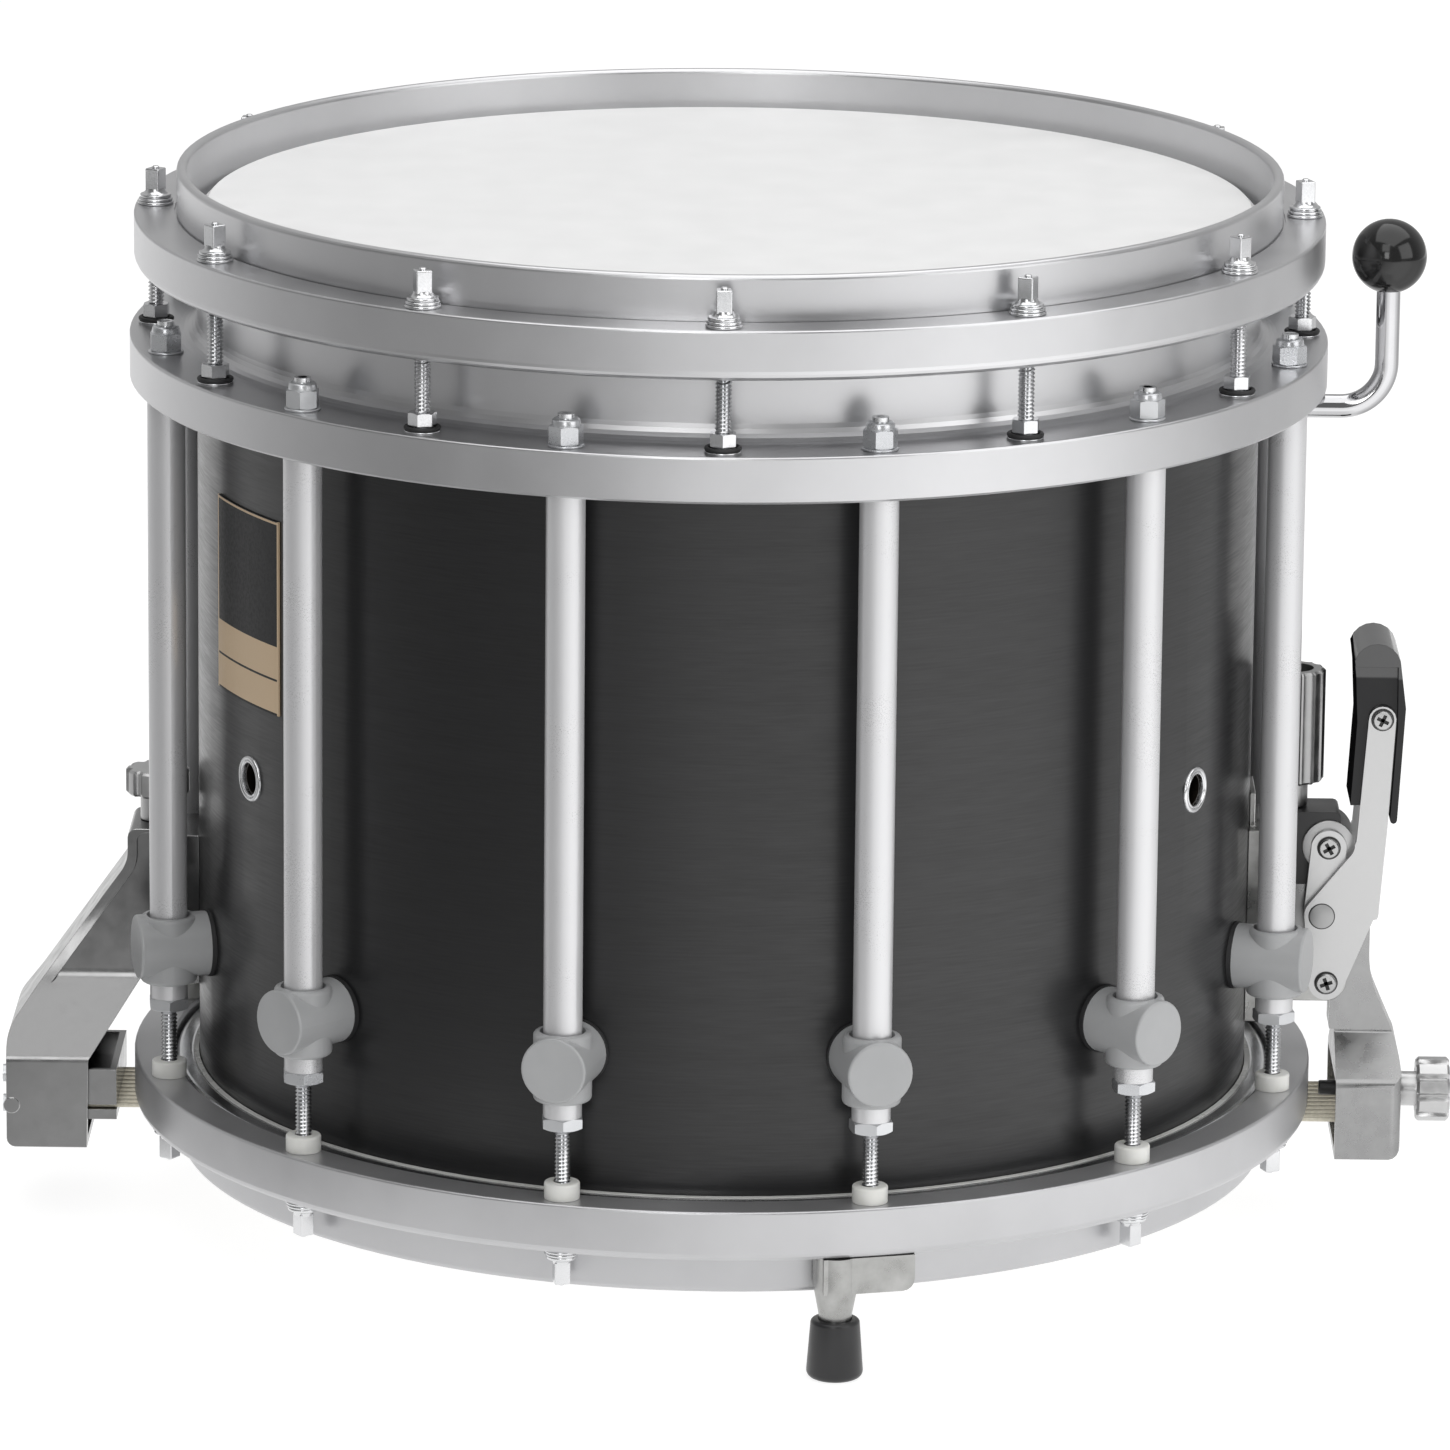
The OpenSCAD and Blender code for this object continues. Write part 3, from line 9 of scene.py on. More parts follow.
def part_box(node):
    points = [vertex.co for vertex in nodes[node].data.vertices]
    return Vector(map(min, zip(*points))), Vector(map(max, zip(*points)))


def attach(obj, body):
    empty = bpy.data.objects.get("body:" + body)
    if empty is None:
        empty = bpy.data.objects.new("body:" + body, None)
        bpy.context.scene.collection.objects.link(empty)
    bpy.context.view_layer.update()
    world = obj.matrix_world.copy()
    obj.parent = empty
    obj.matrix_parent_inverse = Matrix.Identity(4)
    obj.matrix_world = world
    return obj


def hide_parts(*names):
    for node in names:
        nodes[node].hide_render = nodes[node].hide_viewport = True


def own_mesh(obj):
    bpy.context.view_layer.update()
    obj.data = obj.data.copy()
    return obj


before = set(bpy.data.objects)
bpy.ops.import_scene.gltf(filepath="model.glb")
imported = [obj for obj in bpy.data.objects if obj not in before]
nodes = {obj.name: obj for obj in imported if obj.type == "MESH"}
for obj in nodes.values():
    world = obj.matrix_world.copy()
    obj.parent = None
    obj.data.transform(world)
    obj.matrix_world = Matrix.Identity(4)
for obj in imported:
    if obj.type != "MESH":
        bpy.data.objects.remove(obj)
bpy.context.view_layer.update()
mm = 0.001

# Camera. A long lens stands a little above the batter head and slightly to the right of the drum's front.
# Its place, tilt and roll come from fitting the ellipses of the hoops.
camera_distance = 3.1404
camera_height = 0.9594
camera_turn = math.radians(0.448)
camera_tilt = math.radians(90 - 14.134)
camera_roll = math.radians(0.565)
bpy.ops.object.camera_add(
    location=(
        camera_distance * math.sin(camera_turn),
        -camera_distance * math.cos(camera_turn),
        camera_height,
    )
)
camera = bpy.context.object
camera.rotation_euler = (
    Matrix.Rotation(camera_turn, 3, "Z")
    @ Matrix.Rotation(camera_tilt, 3, "X")
    @ Matrix.Rotation(camera_roll, 3, "Z")
).to_euler()
camera.data.sensor_width = 36
camera.data.lens = 238.06
camera.data.clip_end = 50
bpy.context.scene.camera = camera

# Studio. A floor of pale paper that glows evenly to the eye. To all other rays its glow is painted brighter
# in front on the right and darker on the left, so the metal mirrors long gradients. Soft boxes hang
# overhead and stand in front, and the walls of the room are dim.
floor_low = (-2.4, -2.6)
floor_high = (2.4, 4.4)
floor_middle = [(low + high) / 2 for low, high in zip(floor_low, floor_high)]
floor_size = [high - low for low, high in zip(floor_low, floor_high)]
bpy.ops.mesh.primitive_plane_add(size=1, location=(*floor_middle, 0))
bpy.ops.transform.resize(value=(*floor_size, 1))
bpy.ops.object.transform_apply()
floor = bpy.context.object
floor.name = "studio_floor"


def material(name):
    """A new node material, its tree and its surface shader."""
    made = bpy.data.materials.new(name)
    made.use_nodes = True
    return made, made.node_tree, made.node_tree.nodes["Principled BSDF"]


def object_place(tree):
    """The object coordinates of a point on a piece."""
    return tree.nodes.new("ShaderNodeTexCoord").outputs["Object"]


def math_node(tree, operation, first, second):
    """One step of arithmetic on two sockets or numbers."""
    step = tree.nodes.new("ShaderNodeMath")
    step.operation = operation
    for socket, value in zip(step.inputs, (first, second)):
        if isinstance(value, (int, float)):
            socket.default_value = value
        else:
            tree.links.new(value, socket)
    return step.outputs["Value"]


def remap(tree, factor, start, end, low, high):
    """Carries a value from one range to another, with soft ends."""
    step = tree.nodes.new("ShaderNodeMapRange")
    step.interpolation_type = "SMOOTHSTEP"
    step.inputs["From Min"].default_value = start
    step.inputs["From Max"].default_value = end
    step.inputs["To Min"].default_value = low
    step.inputs["To Max"].default_value = high
    tree.links.new(factor, step.inputs["Value"])
    return step.outputs["Result"]


def parts(tree, vector):
    """The X, Y and Z parts of a vector."""
    split = tree.nodes.new("ShaderNodeSeparateXYZ")
    tree.links.new(vector, split.inputs["Vector"])
    return split.outputs


def around(tree):
    """The parts of a point's place and its angle round the drum, counted from the front to the right."""
    place = parts(tree, object_place(tree))
    to_front = math_node(tree, "MULTIPLY", place["Y"], -1)
    return place, math_node(tree, "ARCTAN2", place["X"], to_front)


def stops(tree, factor, steps, blend):
    """A colour ramp over steps of position and colour."""
    ramp = tree.nodes.new("ShaderNodeValToRGB")
    ramp.color_ramp.interpolation = blend
    while len(ramp.color_ramp.elements) < len(steps):
        ramp.color_ramp.elements.new(1)
    for element, (position, color) in zip(ramp.color_ramp.elements, steps):
        element.position = position
        element.color = (*color, 1)
    tree.links.new(factor, ramp.inputs["Fac"])
    return ramp.outputs["Color"]


# The floor's painted glow by angle round the drum; camera rays see only the even glow near the drum.
floor_glow = (
    (-180, 1.0), (-150, 0.8), (-115, 0.5), (-85, 0.24), (-60, 0.0), (-38, 0.0), (-18, 0.28),
    (2, 0.86), (30, 1.28), (60, 1.22), (85, 0.76), (110, 0.36), (145, 0.42), (180, 0.9),
)
glow_full = 1.5
glow_near = 0.85
glow_far = 1
far_from = 2.0
far_to = 2.4
near_side = (0.25, 0.33)
near_front = (-0.27, -0.38)
near_splay = 0.076
paper, tree, shader = material("floor_paper")
place, angle = around(tree)
turn = math_node(tree, "ADD", math_node(tree, "MULTIPLY", angle, 0.5 / math.pi), 0.5)
steps = [((degrees + 180) / 360, (glow / glow_full,) * 3) for degrees, glow in floor_glow]
glow = math_node(tree, "MULTIPLY", stops(tree, turn, steps, "EASE"), glow_full)
across = math_node(tree, "MULTIPLY", place["X"], place["X"])
along = math_node(tree, "MULTIPLY", place["Y"], place["Y"])
out = math_node(tree, "SQRT", math_node(tree, "ADD", across, along), 0)
fade = math_node(tree, "SUBTRACT", glow_far, glow)
fade = math_node(tree, "MULTIPLY", fade, remap(tree, out, far_from, far_to, 0, 1))
glow = math_node(tree, "ADD", glow, fade)
sideways = math_node(tree, "ABSOLUTE", place["X"], 0)
sideways = math_node(tree, "SUBTRACT", sideways, math_node(tree, "MULTIPLY", place["Y"], near_splay))
beside = remap(tree, sideways, *near_side, 0, 1)
before = remap(tree, place["Y"], *near_front, 0, 1)
away = math_node(tree, "MAXIMUM", beside, before)
change = math_node(tree, "MULTIPLY", away, math_node(tree, "SUBTRACT", glow, glow_near))
rays = tree.nodes.new("ShaderNodeLightPath")
mirrored = math_node(tree, "SUBTRACT", 1, rays.outputs["Is Camera Ray"])
change = math_node(tree, "MULTIPLY", change, mirrored)
tree.links.new(math_node(tree, "ADD", change, glow_near), shader.inputs["Emission Strength"])
shader.inputs["Emission Color"].default_value = (1, 1, 1, 1)
shader.inputs["Base Color"].default_value = (0.3, 0.3, 0.3, 1)
shader.inputs["Roughness"].default_value = 0.9
shader.inputs["Specular IOR Level"].default_value = 0.1
floor.data.materials.append(paper)
drum_middle = Vector((0, 0, 0.2))


def soft_box(name, azimuth, distance, height, width, tall, power):
    """An area light that faces the drum, at an azimuth counted from the front to the right."""
    turn = math.radians(azimuth)
    place = (distance * math.sin(turn), -distance * math.cos(turn), height)
    bpy.ops.object.light_add(type="AREA", location=place)
    lamp = bpy.context.object
    lamp.name = name
    lamp.data.shape = "RECTANGLE"
    lamp.data.size = width
    lamp.data.size_y = tall
    lamp.data.energy = power
    aim = drum_middle - lamp.location
    lamp.rotation_euler = aim.to_track_quat("-Z", "Y").to_euler()


soft_box("box_overhead", azimuth=60, distance=0.3, height=2.6, width=3.6, tall=3.2, power=54)
soft_box("box_key", azimuth=55, distance=3.0, height=1.4, width=2.2, tall=2.2, power=26)
soft_box("box_fill", azimuth=-12, distance=2.4, height=2.1, width=1.2, tall=1.2, power=8)
soft_box("box_front", azimuth=-8, distance=3.4, height=1.1, width=0.8, tall=1.2, power=12)

room = bpy.data.worlds.new("studio_room")
bpy.context.scene.world = room
room.use_nodes = True
tree = room.node_tree
seen = tree.nodes["Background"]
seen.inputs["Color"].default_value = (1, 1, 1, 1)
walls = tree.nodes.new("ShaderNodeBackground")
walls.inputs["Color"].default_value = (1, 1, 1, 1)
direction = parts(tree, tree.nodes.new("ShaderNodeTexCoord").outputs["Generated"])
wall_turn = (-0.2, 0.6)
wall_glow = (0.2, 0.5)
tree.links.new(remap(tree, direction["Y"], *wall_turn, *wall_glow), walls.inputs["Strength"])
rays = tree.nodes.new("ShaderNodeLightPath")
blend = tree.nodes.new("ShaderNodeMixShader")
tree.links.new(rays.outputs["Is Camera Ray"], blend.inputs[0])
tree.links.new(walls.outputs[0], blend.inputs[1])
tree.links.new(seen.outputs[0], blend.inputs[2])
tree.links.new(blend.outputs[0], tree.nodes["World Output"].inputs["Surface"])
bpy.context.scene.view_settings.view_transform = "Standard"

# Shell. Plies of birch and maple, bent round and glued, stained charcoal and lacquered to a satin sheen.
# The grain of the outer veneer runs round the drum as short fine streaks.


def noise(tree, vector, scale, detail):
    """A noise value at each point."""
    texture = tree.nodes.new("ShaderNodeTexNoise")
    texture.inputs["Scale"].default_value = scale
    texture.inputs["Detail"].default_value = detail
    tree.links.new(vector, texture.inputs["Vector"])
    return texture.outputs["Fac"]


noise_low = 0.3
noise_high = 0.7


def tint(tree, factor, dark, light, socket):
    """Colours a socket from dark to light where a noise value rises."""
    tree.links.new(stops(tree, factor, ((noise_low, dark), (noise_high, light)), "LINEAR"), socket)


def spread(tree, factor, low, high, socket):
    """Sets a socket from low to high where a noise value rises."""
    tree.links.new(remap(tree, factor, noise_low, noise_high, low, high), socket)


def relief(tree, factor, depth, shader):
    """Raises a fine relief of a given depth."""
    bump = tree.nodes.new("ShaderNodeBump")
    bump.inputs["Distance"].default_value = depth
    tree.links.new(factor, bump.inputs["Height"])
    tree.links.new(bump.outputs["Normal"], shader.inputs["Normal"])


def round_drum(tree, radius, along, across):
    """Coordinates wrapped round the drum, scaled along the hoop and across it."""
    place, angle = around(tree)
    wrapped = tree.nodes.new("ShaderNodeCombineXYZ")
    tree.links.new(math_node(tree, "MULTIPLY", angle, radius * along), wrapped.inputs["X"])
    tree.links.new(math_node(tree, "MULTIPLY", place["Z"], across), wrapped.inputs["Y"])
    return wrapped.outputs["Vector"]


def paint(finish, *names):
    """Gives CAD nodes a finish."""
    for name in names:
        mesh = nodes[name].data
        mesh.materials.clear()
        mesh.materials.append(finish)


shell_radius = 177.5 * mm
stain, tree, shader = material("charcoal_stain")
streak_share = 0.65
figure_share = 0.35
streaks = noise(tree, round_drum(tree, shell_radius, along=70, across=1500), 1, 4)
figure = noise(tree, round_drum(tree, shell_radius, along=9, across=160), 1, 3)
mixed = math_node(tree, "MULTIPLY", streaks, streak_share)
mixed = math_node(tree, "ADD", mixed, math_node(tree, "MULTIPLY", figure, figure_share))
tint(tree, mixed, (0.0015, 0.0015, 0.0018), (0.011, 0.011, 0.012), shader.inputs["Base Color"])
spread(tree, mixed, 0.42, 0.3, shader.inputs["Roughness"])
relief(tree, streaks, 0.02 * mm, shader)
shader.inputs["Coat Weight"].default_value = 0.25
shader.inputs["Coat Roughness"].default_value = 0.22
paint(stain, "shell")

# Vent eyelets. Two nickel-plated brass eyelets line the vent holes. A punch rolls their lips outwards,
# so each shows a double bright ring on the shell.


def metal(name, dark, light, gloss, grain, depth, metallic=1):
    """A metal whose shade and roughness drift broadly, under a fine relief of a given grain."""
    made, tree, shader = material(name)
    place = object_place(tree)
    drift_scale = 45
    fine = noise(tree, place, 1 / grain, 3)
    broad = noise(tree, place, drift_scale, 4)
    both = math_node(tree, "MULTIPLY", math_node(tree, "ADD", fine, broad), 0.5)
    tint(tree, broad, dark, light, shader.inputs["Base Color"])
    spread(tree, both, *gloss, shader.inputs["Roughness"])
    relief(tree, fine, depth, shader)
    shader.inputs["Metallic"].default_value = metallic
    return made


def only(piece):
    """Makes a piece the one selected and active object."""
    bpy.ops.object.select_all(action="DESELECT")
    piece.select_set(True)
    bpy.context.view_layer.objects.active = piece


def drawn(name, points):
    """A line of vertices through points of radius and height, left open in edit mode."""
    bpy.ops.object.select_all(action="DESELECT")
    bpy.ops.mesh.primitive_plane_add(size=mm)
    piece = bpy.context.object
    piece.name = name
    bpy.ops.object.mode_set(mode="EDIT")
    bpy.ops.mesh.select_all(action="SELECT")
    bpy.ops.mesh.merge(type="CENTER")
    bpy.ops.transform.translate(value=(points[0][0], 0, points[0][1]))
    for (radius, height), (next_radius, next_height) in zip(points, points[1:]):
        step = (next_radius - radius, 0, next_height - height)
        bpy.ops.mesh.extrude_region_move(TRANSFORM_OT_translate={"value": step})
    return piece


crease = 35


def close_up(smooth=crease):
    """Merges the seams of the mesh in edit mode, turns its faces outwards and smooths it."""
    bpy.ops.mesh.select_all(action="SELECT")
    bpy.ops.mesh.remove_doubles(threshold=0.001 * mm)
    bpy.ops.mesh.fill_holes(sides=0)
    bpy.ops.mesh.normals_make_consistent(inside=False)
    bpy.ops.object.mode_set(mode="OBJECT")
    bpy.ops.object.shade_smooth_by_angle(angle=math.radians(smooth))


def turned(name, points, steps=40):
    """A solid of revolution about Z from points of radius and height in millimetres."""
    piece = drawn(name, [(radius * mm, height * mm) for radius, height in points])
    bpy.ops.mesh.select_all(action="SELECT")
    bpy.ops.mesh.spin(steps=steps, angle=2 * math.pi, center=(0, 0, 0), axis=(0, 0, 1))
    close_up()
    return piece


def arc(radius, height, bend, start, end, steps=6):
    """Points of a rounded corner in a turned profile."""
    turns = [math.radians(start + (end - start) * i / steps) for i in range(steps + 1)]
    return [(radius + bend * math.cos(turn), height + bend * math.sin(turn)) for turn in turns]


def copies(piece, places):
    """Copies of a piece at several places, joined into one."""
    name = piece.name
    made = []
    for place in places:
        copy = bpy.data.objects.new(name, piece.data.copy())
        copy.data.transform(place)
        bpy.context.collection.objects.link(copy)
        made.append(copy)
    bpy.data.objects.remove(piece)
    only(made[0])
    for copy in made:
        copy.select_set(True)
    bpy.ops.object.join()
    made[0].name = name
    return made[0]


def round_places(angles, radius, height=0, twist=0):
    """Upright places round the drum, each turned a little more about its own axis."""
    return [
        Matrix.Rotation(math.radians(angle), 4, "Z")
        @ Matrix.Translation((0, -radius, height))
        @ Matrix.Rotation(math.radians(twist * index), 4, "Z")
        for index, angle in enumerate(angles)
    ]


def fit(piece, body, finish, slot, *replaced):
    """Gives a piece its finish and body and hides the CAD nodes that it stands for; the slot is not used.
    """
    piece.data.materials.clear()
    piece.data.materials.append(finish)
    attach(piece, body)
    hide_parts(*replaced)


def middle(node):
    """The middle of a CAD node's box."""
    low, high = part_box(node)
    return (low + high) / 2


chrome = metal("bright_plating", (0.64, 0.65, 0.66), (0.76, 0.76, 0.77), (0.14, 0.26), 0.6 * mm, 0.003 * mm)
vent_angles = (-61, 61)
facing_out = Matrix.Rotation(math.pi / 2, 4, "X")
vent_circle = round_places(vent_angles, shell_radius, middle("vent_grommets").z)
vent_places = [place @ facing_out for place in vent_circle]
eyelet_bore = 5.3
eyelet_back = -9.2
barrel = [(eyelet_bore, eyelet_back), (6, eyelet_back), (6, -0.4)]
outer_lip = arc(6.9, 0.1, 0.9, 220, -10, 7)
step_back = [(7.4, -0.6), (6.05, -0.6), (6.05, 0.3)]
inner_lip = arc(5.75, 0.35, 0.45, 0, 180, 5)
eyelet = turned("vent_eyelets", [*barrel, *outer_lip, *step_back, *inner_lip, barrel[0]])
fit(copies(eyelet, vent_places), "drum", chrome, "chrome_hardware", "vent_grommets")
# A near-black metal sleeve lines each eyelet's bore: painted shade for the dark hole.
bore_shade = metal("painted_bore_shade", (0.02, 0.017, 0.014), (0.05, 0.042, 0.034), (0.35, 0.5), 0.6 * mm, 0.006 * mm)
shade_lining = [(5, eyelet_back), (eyelet_bore, eyelet_back), (eyelet_bore, -0.9), (5, -0.9), (5, eyelet_back)]
fit(copies(turned("eyelet_bore_shade", shade_lining), vent_places), "drum", bore_shade, "chrome_hardware")

# Plate. A thin steel plate, bent to the curve of the shell and glued on above a vent.
# It is enamelled black over two tan bands, with a fine tan line along its edges.
plate_tan = (0.66, 0.5, 0.33)
plate_black = (0.012, 0.012, 0.013)
plate_middle = math.radians(-62.2)
plate_half = 23.75 * mm / shell_radius
plate_line = 0.9 * mm / shell_radius
plate_low, plate_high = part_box("badge_plate")
plate_bands = (
    (0.0, plate_black),
    (0.008, plate_tan),
    (0.175, plate_black),
    (0.185, plate_tan),
    (0.355, plate_black),
    (0.982, plate_tan),
    (0.994, plate_black),
)
enamel, tree, shader = material("plate_enamel")
place, angle = around(tree)
height = math_node(tree, "SUBTRACT", place["Z"], plate_low.z)
height = math_node(tree, "DIVIDE", height, plate_high.z - plate_low.z)
sideways = math_node(tree, "ABSOLUTE", math_node(tree, "SUBTRACT", angle, plate_middle), 0)
border = math_node(tree, "GREATER_THAN", sideways, plate_half - plate_line)
blend = tree.nodes.new("ShaderNodeMix")
blend.data_type = "RGBA"
tree.links.new(border, blend.inputs[0])
tree.links.new(stops(tree, height, plate_bands, "CONSTANT"), blend.inputs[6])
blend.inputs[7].default_value = (*plate_tan, 1)
tree.links.new(blend.outputs[2], shader.inputs["Base Color"])
ripple_scale = 900
ripple = noise(tree, object_place(tree), ripple_scale, 3)
spread(tree, ripple, 0.28, 0.42, shader.inputs["Roughness"])
relief(tree, ripple, 0.01 * mm, shader)
shader.inputs["Specular IOR Level"].default_value = 0.2
paint(enamel, "badge_plate")

# Hoops and ring. Die-cast aluminium, turned and bead blasted to a satin skin, then clear anodised.
# Rods draw the upper hoop down over the head on the ring, and the lower hoop up over the other head.
satin = metal("satin_aluminium", (0.6, 0.6, 0.61), (0.64, 0.64, 0.65), (0.3, 0.38), 0.3 * mm, 0.005 * mm)
paint(satin, "top_ring", "batter_hoop")
# The lower hoop gets a darker copy of the same satin finish: painted shade.
shaded_satin_low = metal(
    "shaded_lower_hoop",
    (0.52, 0.52, 0.53),
    (0.56, 0.56, 0.57),
    (0.3, 0.38),
    0.3 * mm,
    0.005 * mm,
    metallic=0.75,
)
paint(shaded_satin_low, "bottom_hoop")

# Heads. Polyester film formed over the bearing edges and crimped into bright flesh hoops,
# smooth and white above, thin and hazy below.


def coated(name, dark, light, gloss, grain, depth):
    """A film, paint or plastic whose shade and roughness drift, under a fine relief of a given grain."""
    made, tree, shader = material(name)
    place = object_place(tree)
    drift_scale = 60
    broad = noise(tree, place, drift_scale, 4)
    tint(tree, broad, dark, light, shader.inputs["Base Color"])
    spread(tree, broad, *gloss, shader.inputs["Roughness"])
    relief(tree, noise(tree, place, 1 / grain, 3), depth, shader)
    return made


film = coated("batter_film", (0.82, 0.82, 0.82), (0.85, 0.85, 0.85), (0.42, 0.5), 0.4 * mm, 0.004 * mm)
paint(film, "batter_head")
haze = coated("snare_film", (0.62, 0.62, 0.6), (0.68, 0.68, 0.66), (0.25, 0.35), 0.6 * mm, 0.003 * mm)
paint(haze, "snare_head")
paint(chrome, "batter_flesh_hoop", "snare_flesh_hoop")

# Batter rods. Twelve chromed steel rods with rolled threads and square key heads pull the hoop down,
# each through two washers, into a nut that rests on a rubber ring.
rod_radius = 2.75 * mm
rod_pitch = 1.3 * mm
thread_depth = 0.6 * mm
thread_steps = 18
batter_angles = range(0, 360, 30)
washer_low, washer_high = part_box("top_rod_washers")
wide_washer = 6
narrow_washer = 5.7
washer_thick = 1.1
rod_circle = washer_high.x - wide_washer * mm
key_twist = 37


def threaded(name, low, high):
    """An upright rod with a rolled thread."""
    crest = (rod_radius, low + rod_pitch / 2)
    root = rod_radius - thread_depth
    piece = drawn(name, [(root, low), crest, (root, low + rod_pitch)])
    bpy.ops.object.mode_set(mode="OBJECT")
    thread = piece.modifiers.new("thread", "SCREW")
    thread.screw_offset = rod_pitch
    thread.iterations = math.ceil((high - low) / rod_pitch)
    thread.steps = thread_steps
    thread.render_steps = thread_steps
    thread.use_merge_vertices = True
    bpy.ops.object.modifier_apply(modifier=thread.name)
    bpy.ops.object.mode_set(mode="EDIT")
    close_up(80)
    return piece


def soften(piece, width, segments=3, angle=crease):
    """Rounds the edges of a piece and smooths its faces."""
    only(piece)
    bevel = piece.modifiers.new("soft_edges", "BEVEL")
    bevel.width = width * mm
    bevel.segments = segments
    bevel.limit_method = "ANGLE"
    bevel.angle_limit = math.radians(angle)
    while len(piece.data.materials) < 2:
        piece.data.materials.append(None)
    bevel.material = 1
    bpy.ops.object.modifier_apply(modifier=bevel.name)
    # Marks the rounded edge faces. Castings brighten them, partly as wear and partly as painted highlight;
    # the handle takes reflection off them as painted shade.
    edge_mask = piece.data.attributes.new("bevelled_edges", "FLOAT", "FACE")
    edge_mask.data.foreach_set("value", [float(face.material_index == 1) for face in piece.data.polygons])
    bpy.ops.object.shade_smooth_by_angle(angle=math.radians(crease))
    flat = piece.modifiers.new("flat_faces", "WEIGHTED_NORMAL")
    flat.keep_sharp = True
    bpy.ops.object.modifier_apply(modifier=flat.name)
    return piece


def block(name, low, high):
    """A box between two corners in millimetres."""
    size = [b - a for a, b in zip(low, high)]
    middle = [(a + b) / 2 * mm for a, b in zip(low, high)]
    bpy.ops.object.select_all(action="DESELECT")
    bpy.ops.mesh.primitive_cube_add(size=mm, location=middle, scale=size)
    piece = bpy.context.object
    piece.name = name
    bpy.ops.object.transform_apply(location=True, rotation=True, scale=True)
    return piece


def joined(first, *others):
    """Joins pieces into the first."""
    only(first)
    for other in others:
        other.select_set(True)
    bpy.ops.object.join()
    return first


def key_head(name):
    """A square key head that flares to a round flange, standing on the floor plane."""
    rim = arc(4.85, 0.35, 0.35, -90, 0, 3) + arc(4.85, 0.85, 0.35, 0, 90, 3)
    flange = turned(name, [(0, 0), *rim, (4.4, 1.2), (3.75, 1.6), (3.3, 2.2), (3, 3), (0, 3)])
    key = soften(block("key", (-2.6, -2.6, 2.2), (2.6, 2.6, 9.8)), 0.45)
    tip = turned("tip", [(0, 9.6), (1.2, 9.6), (1.2, 10.2), (0.9, 10.5), (0, 10.5)], 24)
    return joined(flange, key, tip)


shaft = threaded("batter_rods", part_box("top_tension_rods")[0].z, washer_high.z)
head = key_head("head")
head.data.transform(Matrix.Translation((0, 0, washer_high.z)))
rods = copies(joined(shaft, head), round_places(batter_angles, rod_circle, 0, key_twist))
fit(rods, "drum", chrome, "chrome_hardware", "top_tension_rods")


def washer(name, radius, thickness):
    """A pressed washer with soft edges, standing on the floor plane."""
    soft = 0.45 * thickness
    edge = arc(radius - soft, soft, soft, -90, 0, 3) + arc(radius - soft, thickness - soft, soft, 0, 90, 3)
    return turned(name, [(2.8, 0), *edge, (2.8, thickness), (2.8, 0)])


def washer_pair(name):
    """A wide washer with a narrower one on it."""
    wide = washer(name, wide_washer, washer_thick)
    narrow = washer("narrow", narrow_washer, washer_thick)
    narrow.data.transform(Matrix.Translation((0, 0, washer_thick * mm)))
    return joined(wide, narrow)


washers = copies(washer_pair("batter_washers"), round_places(batter_angles, rod_circle, washer_low.z))
fit(washers, "drum", chrome, "chrome_hardware", "top_rod_washers")


def cut(piece, tool, operation="DIFFERENCE"):
    """Cuts a piece with a tool, or keeps only what both share."""
    only(piece)
    knife = piece.modifiers.new("cut", "BOOLEAN")
    knife.operation = operation
    knife.object = tool
    bpy.ops.object.modifier_apply(modifier=knife.name)
    bpy.data.objects.remove(tool)
    bpy.ops.object.shade_smooth_by_angle(angle=math.radians(crease))
    return piece


def hex_nut(name, across, height):
    """A hexagon nut with turned-off corners, standing on the floor plane."""
    bpy.ops.object.select_all(action="DESELECT")
    bpy.ops.mesh.primitive_cylinder_add(
        vertices=6, radius=across / 2 * mm, depth=height * mm, location=(0, 0, height / 2 * mm)
    )
    nut = bpy.context.object
    nut.name = name
    bpy.ops.object.transform_apply(location=True, rotation=True, scale=True)
    corner = across / 2 + 0.1
    soft = 0.08 * across
    below = [(0, 0), (corner - soft, 0), (corner, soft / 2)]
    above = [(corner, height - soft / 2), (corner - soft, height), (0, height)]
    cut(nut, turned("blank", below + above), "INTERSECT")
    bore = turned("bore", [(0, -1), (2.4, -1), (2.4, height + 1), (0, height + 1)], 24)
    return soften(cut(nut, bore), 0.12, 2, 25)


nut_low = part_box("top_rod_nuts")[0].z
nuts = copies(hex_nut("batter_nuts", 9.4, 4.4), round_places(batter_angles, rod_circle, nut_low, 23))
fit(nuts, "drum", chrome, "chrome_hardware", "top_rod_nuts")
rubber = coated(
    "black_rubber", (0.012, 0.012, 0.013), (0.025, 0.025, 0.026), (0.5, 0.62), 0.35 * mm, 0.02 * mm
)
ring_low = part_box("top_rod_o_rings")[0].z
seal = turned("seal_rings", arc(5.25, 1.25, 0.72, 0, 360, 14))
seals = copies(seal, round_places(batter_angles, rod_circle, ring_low))
fit(seals, "drum", rubber, "black_rubber", "top_rod_o_rings")
seal_seats = copies(washer("seal_seats", 5.9, 0.55), round_places(batter_angles, rod_circle, ring_low))
fit(seal_seats, "drum", chrome, "chrome_hardware")

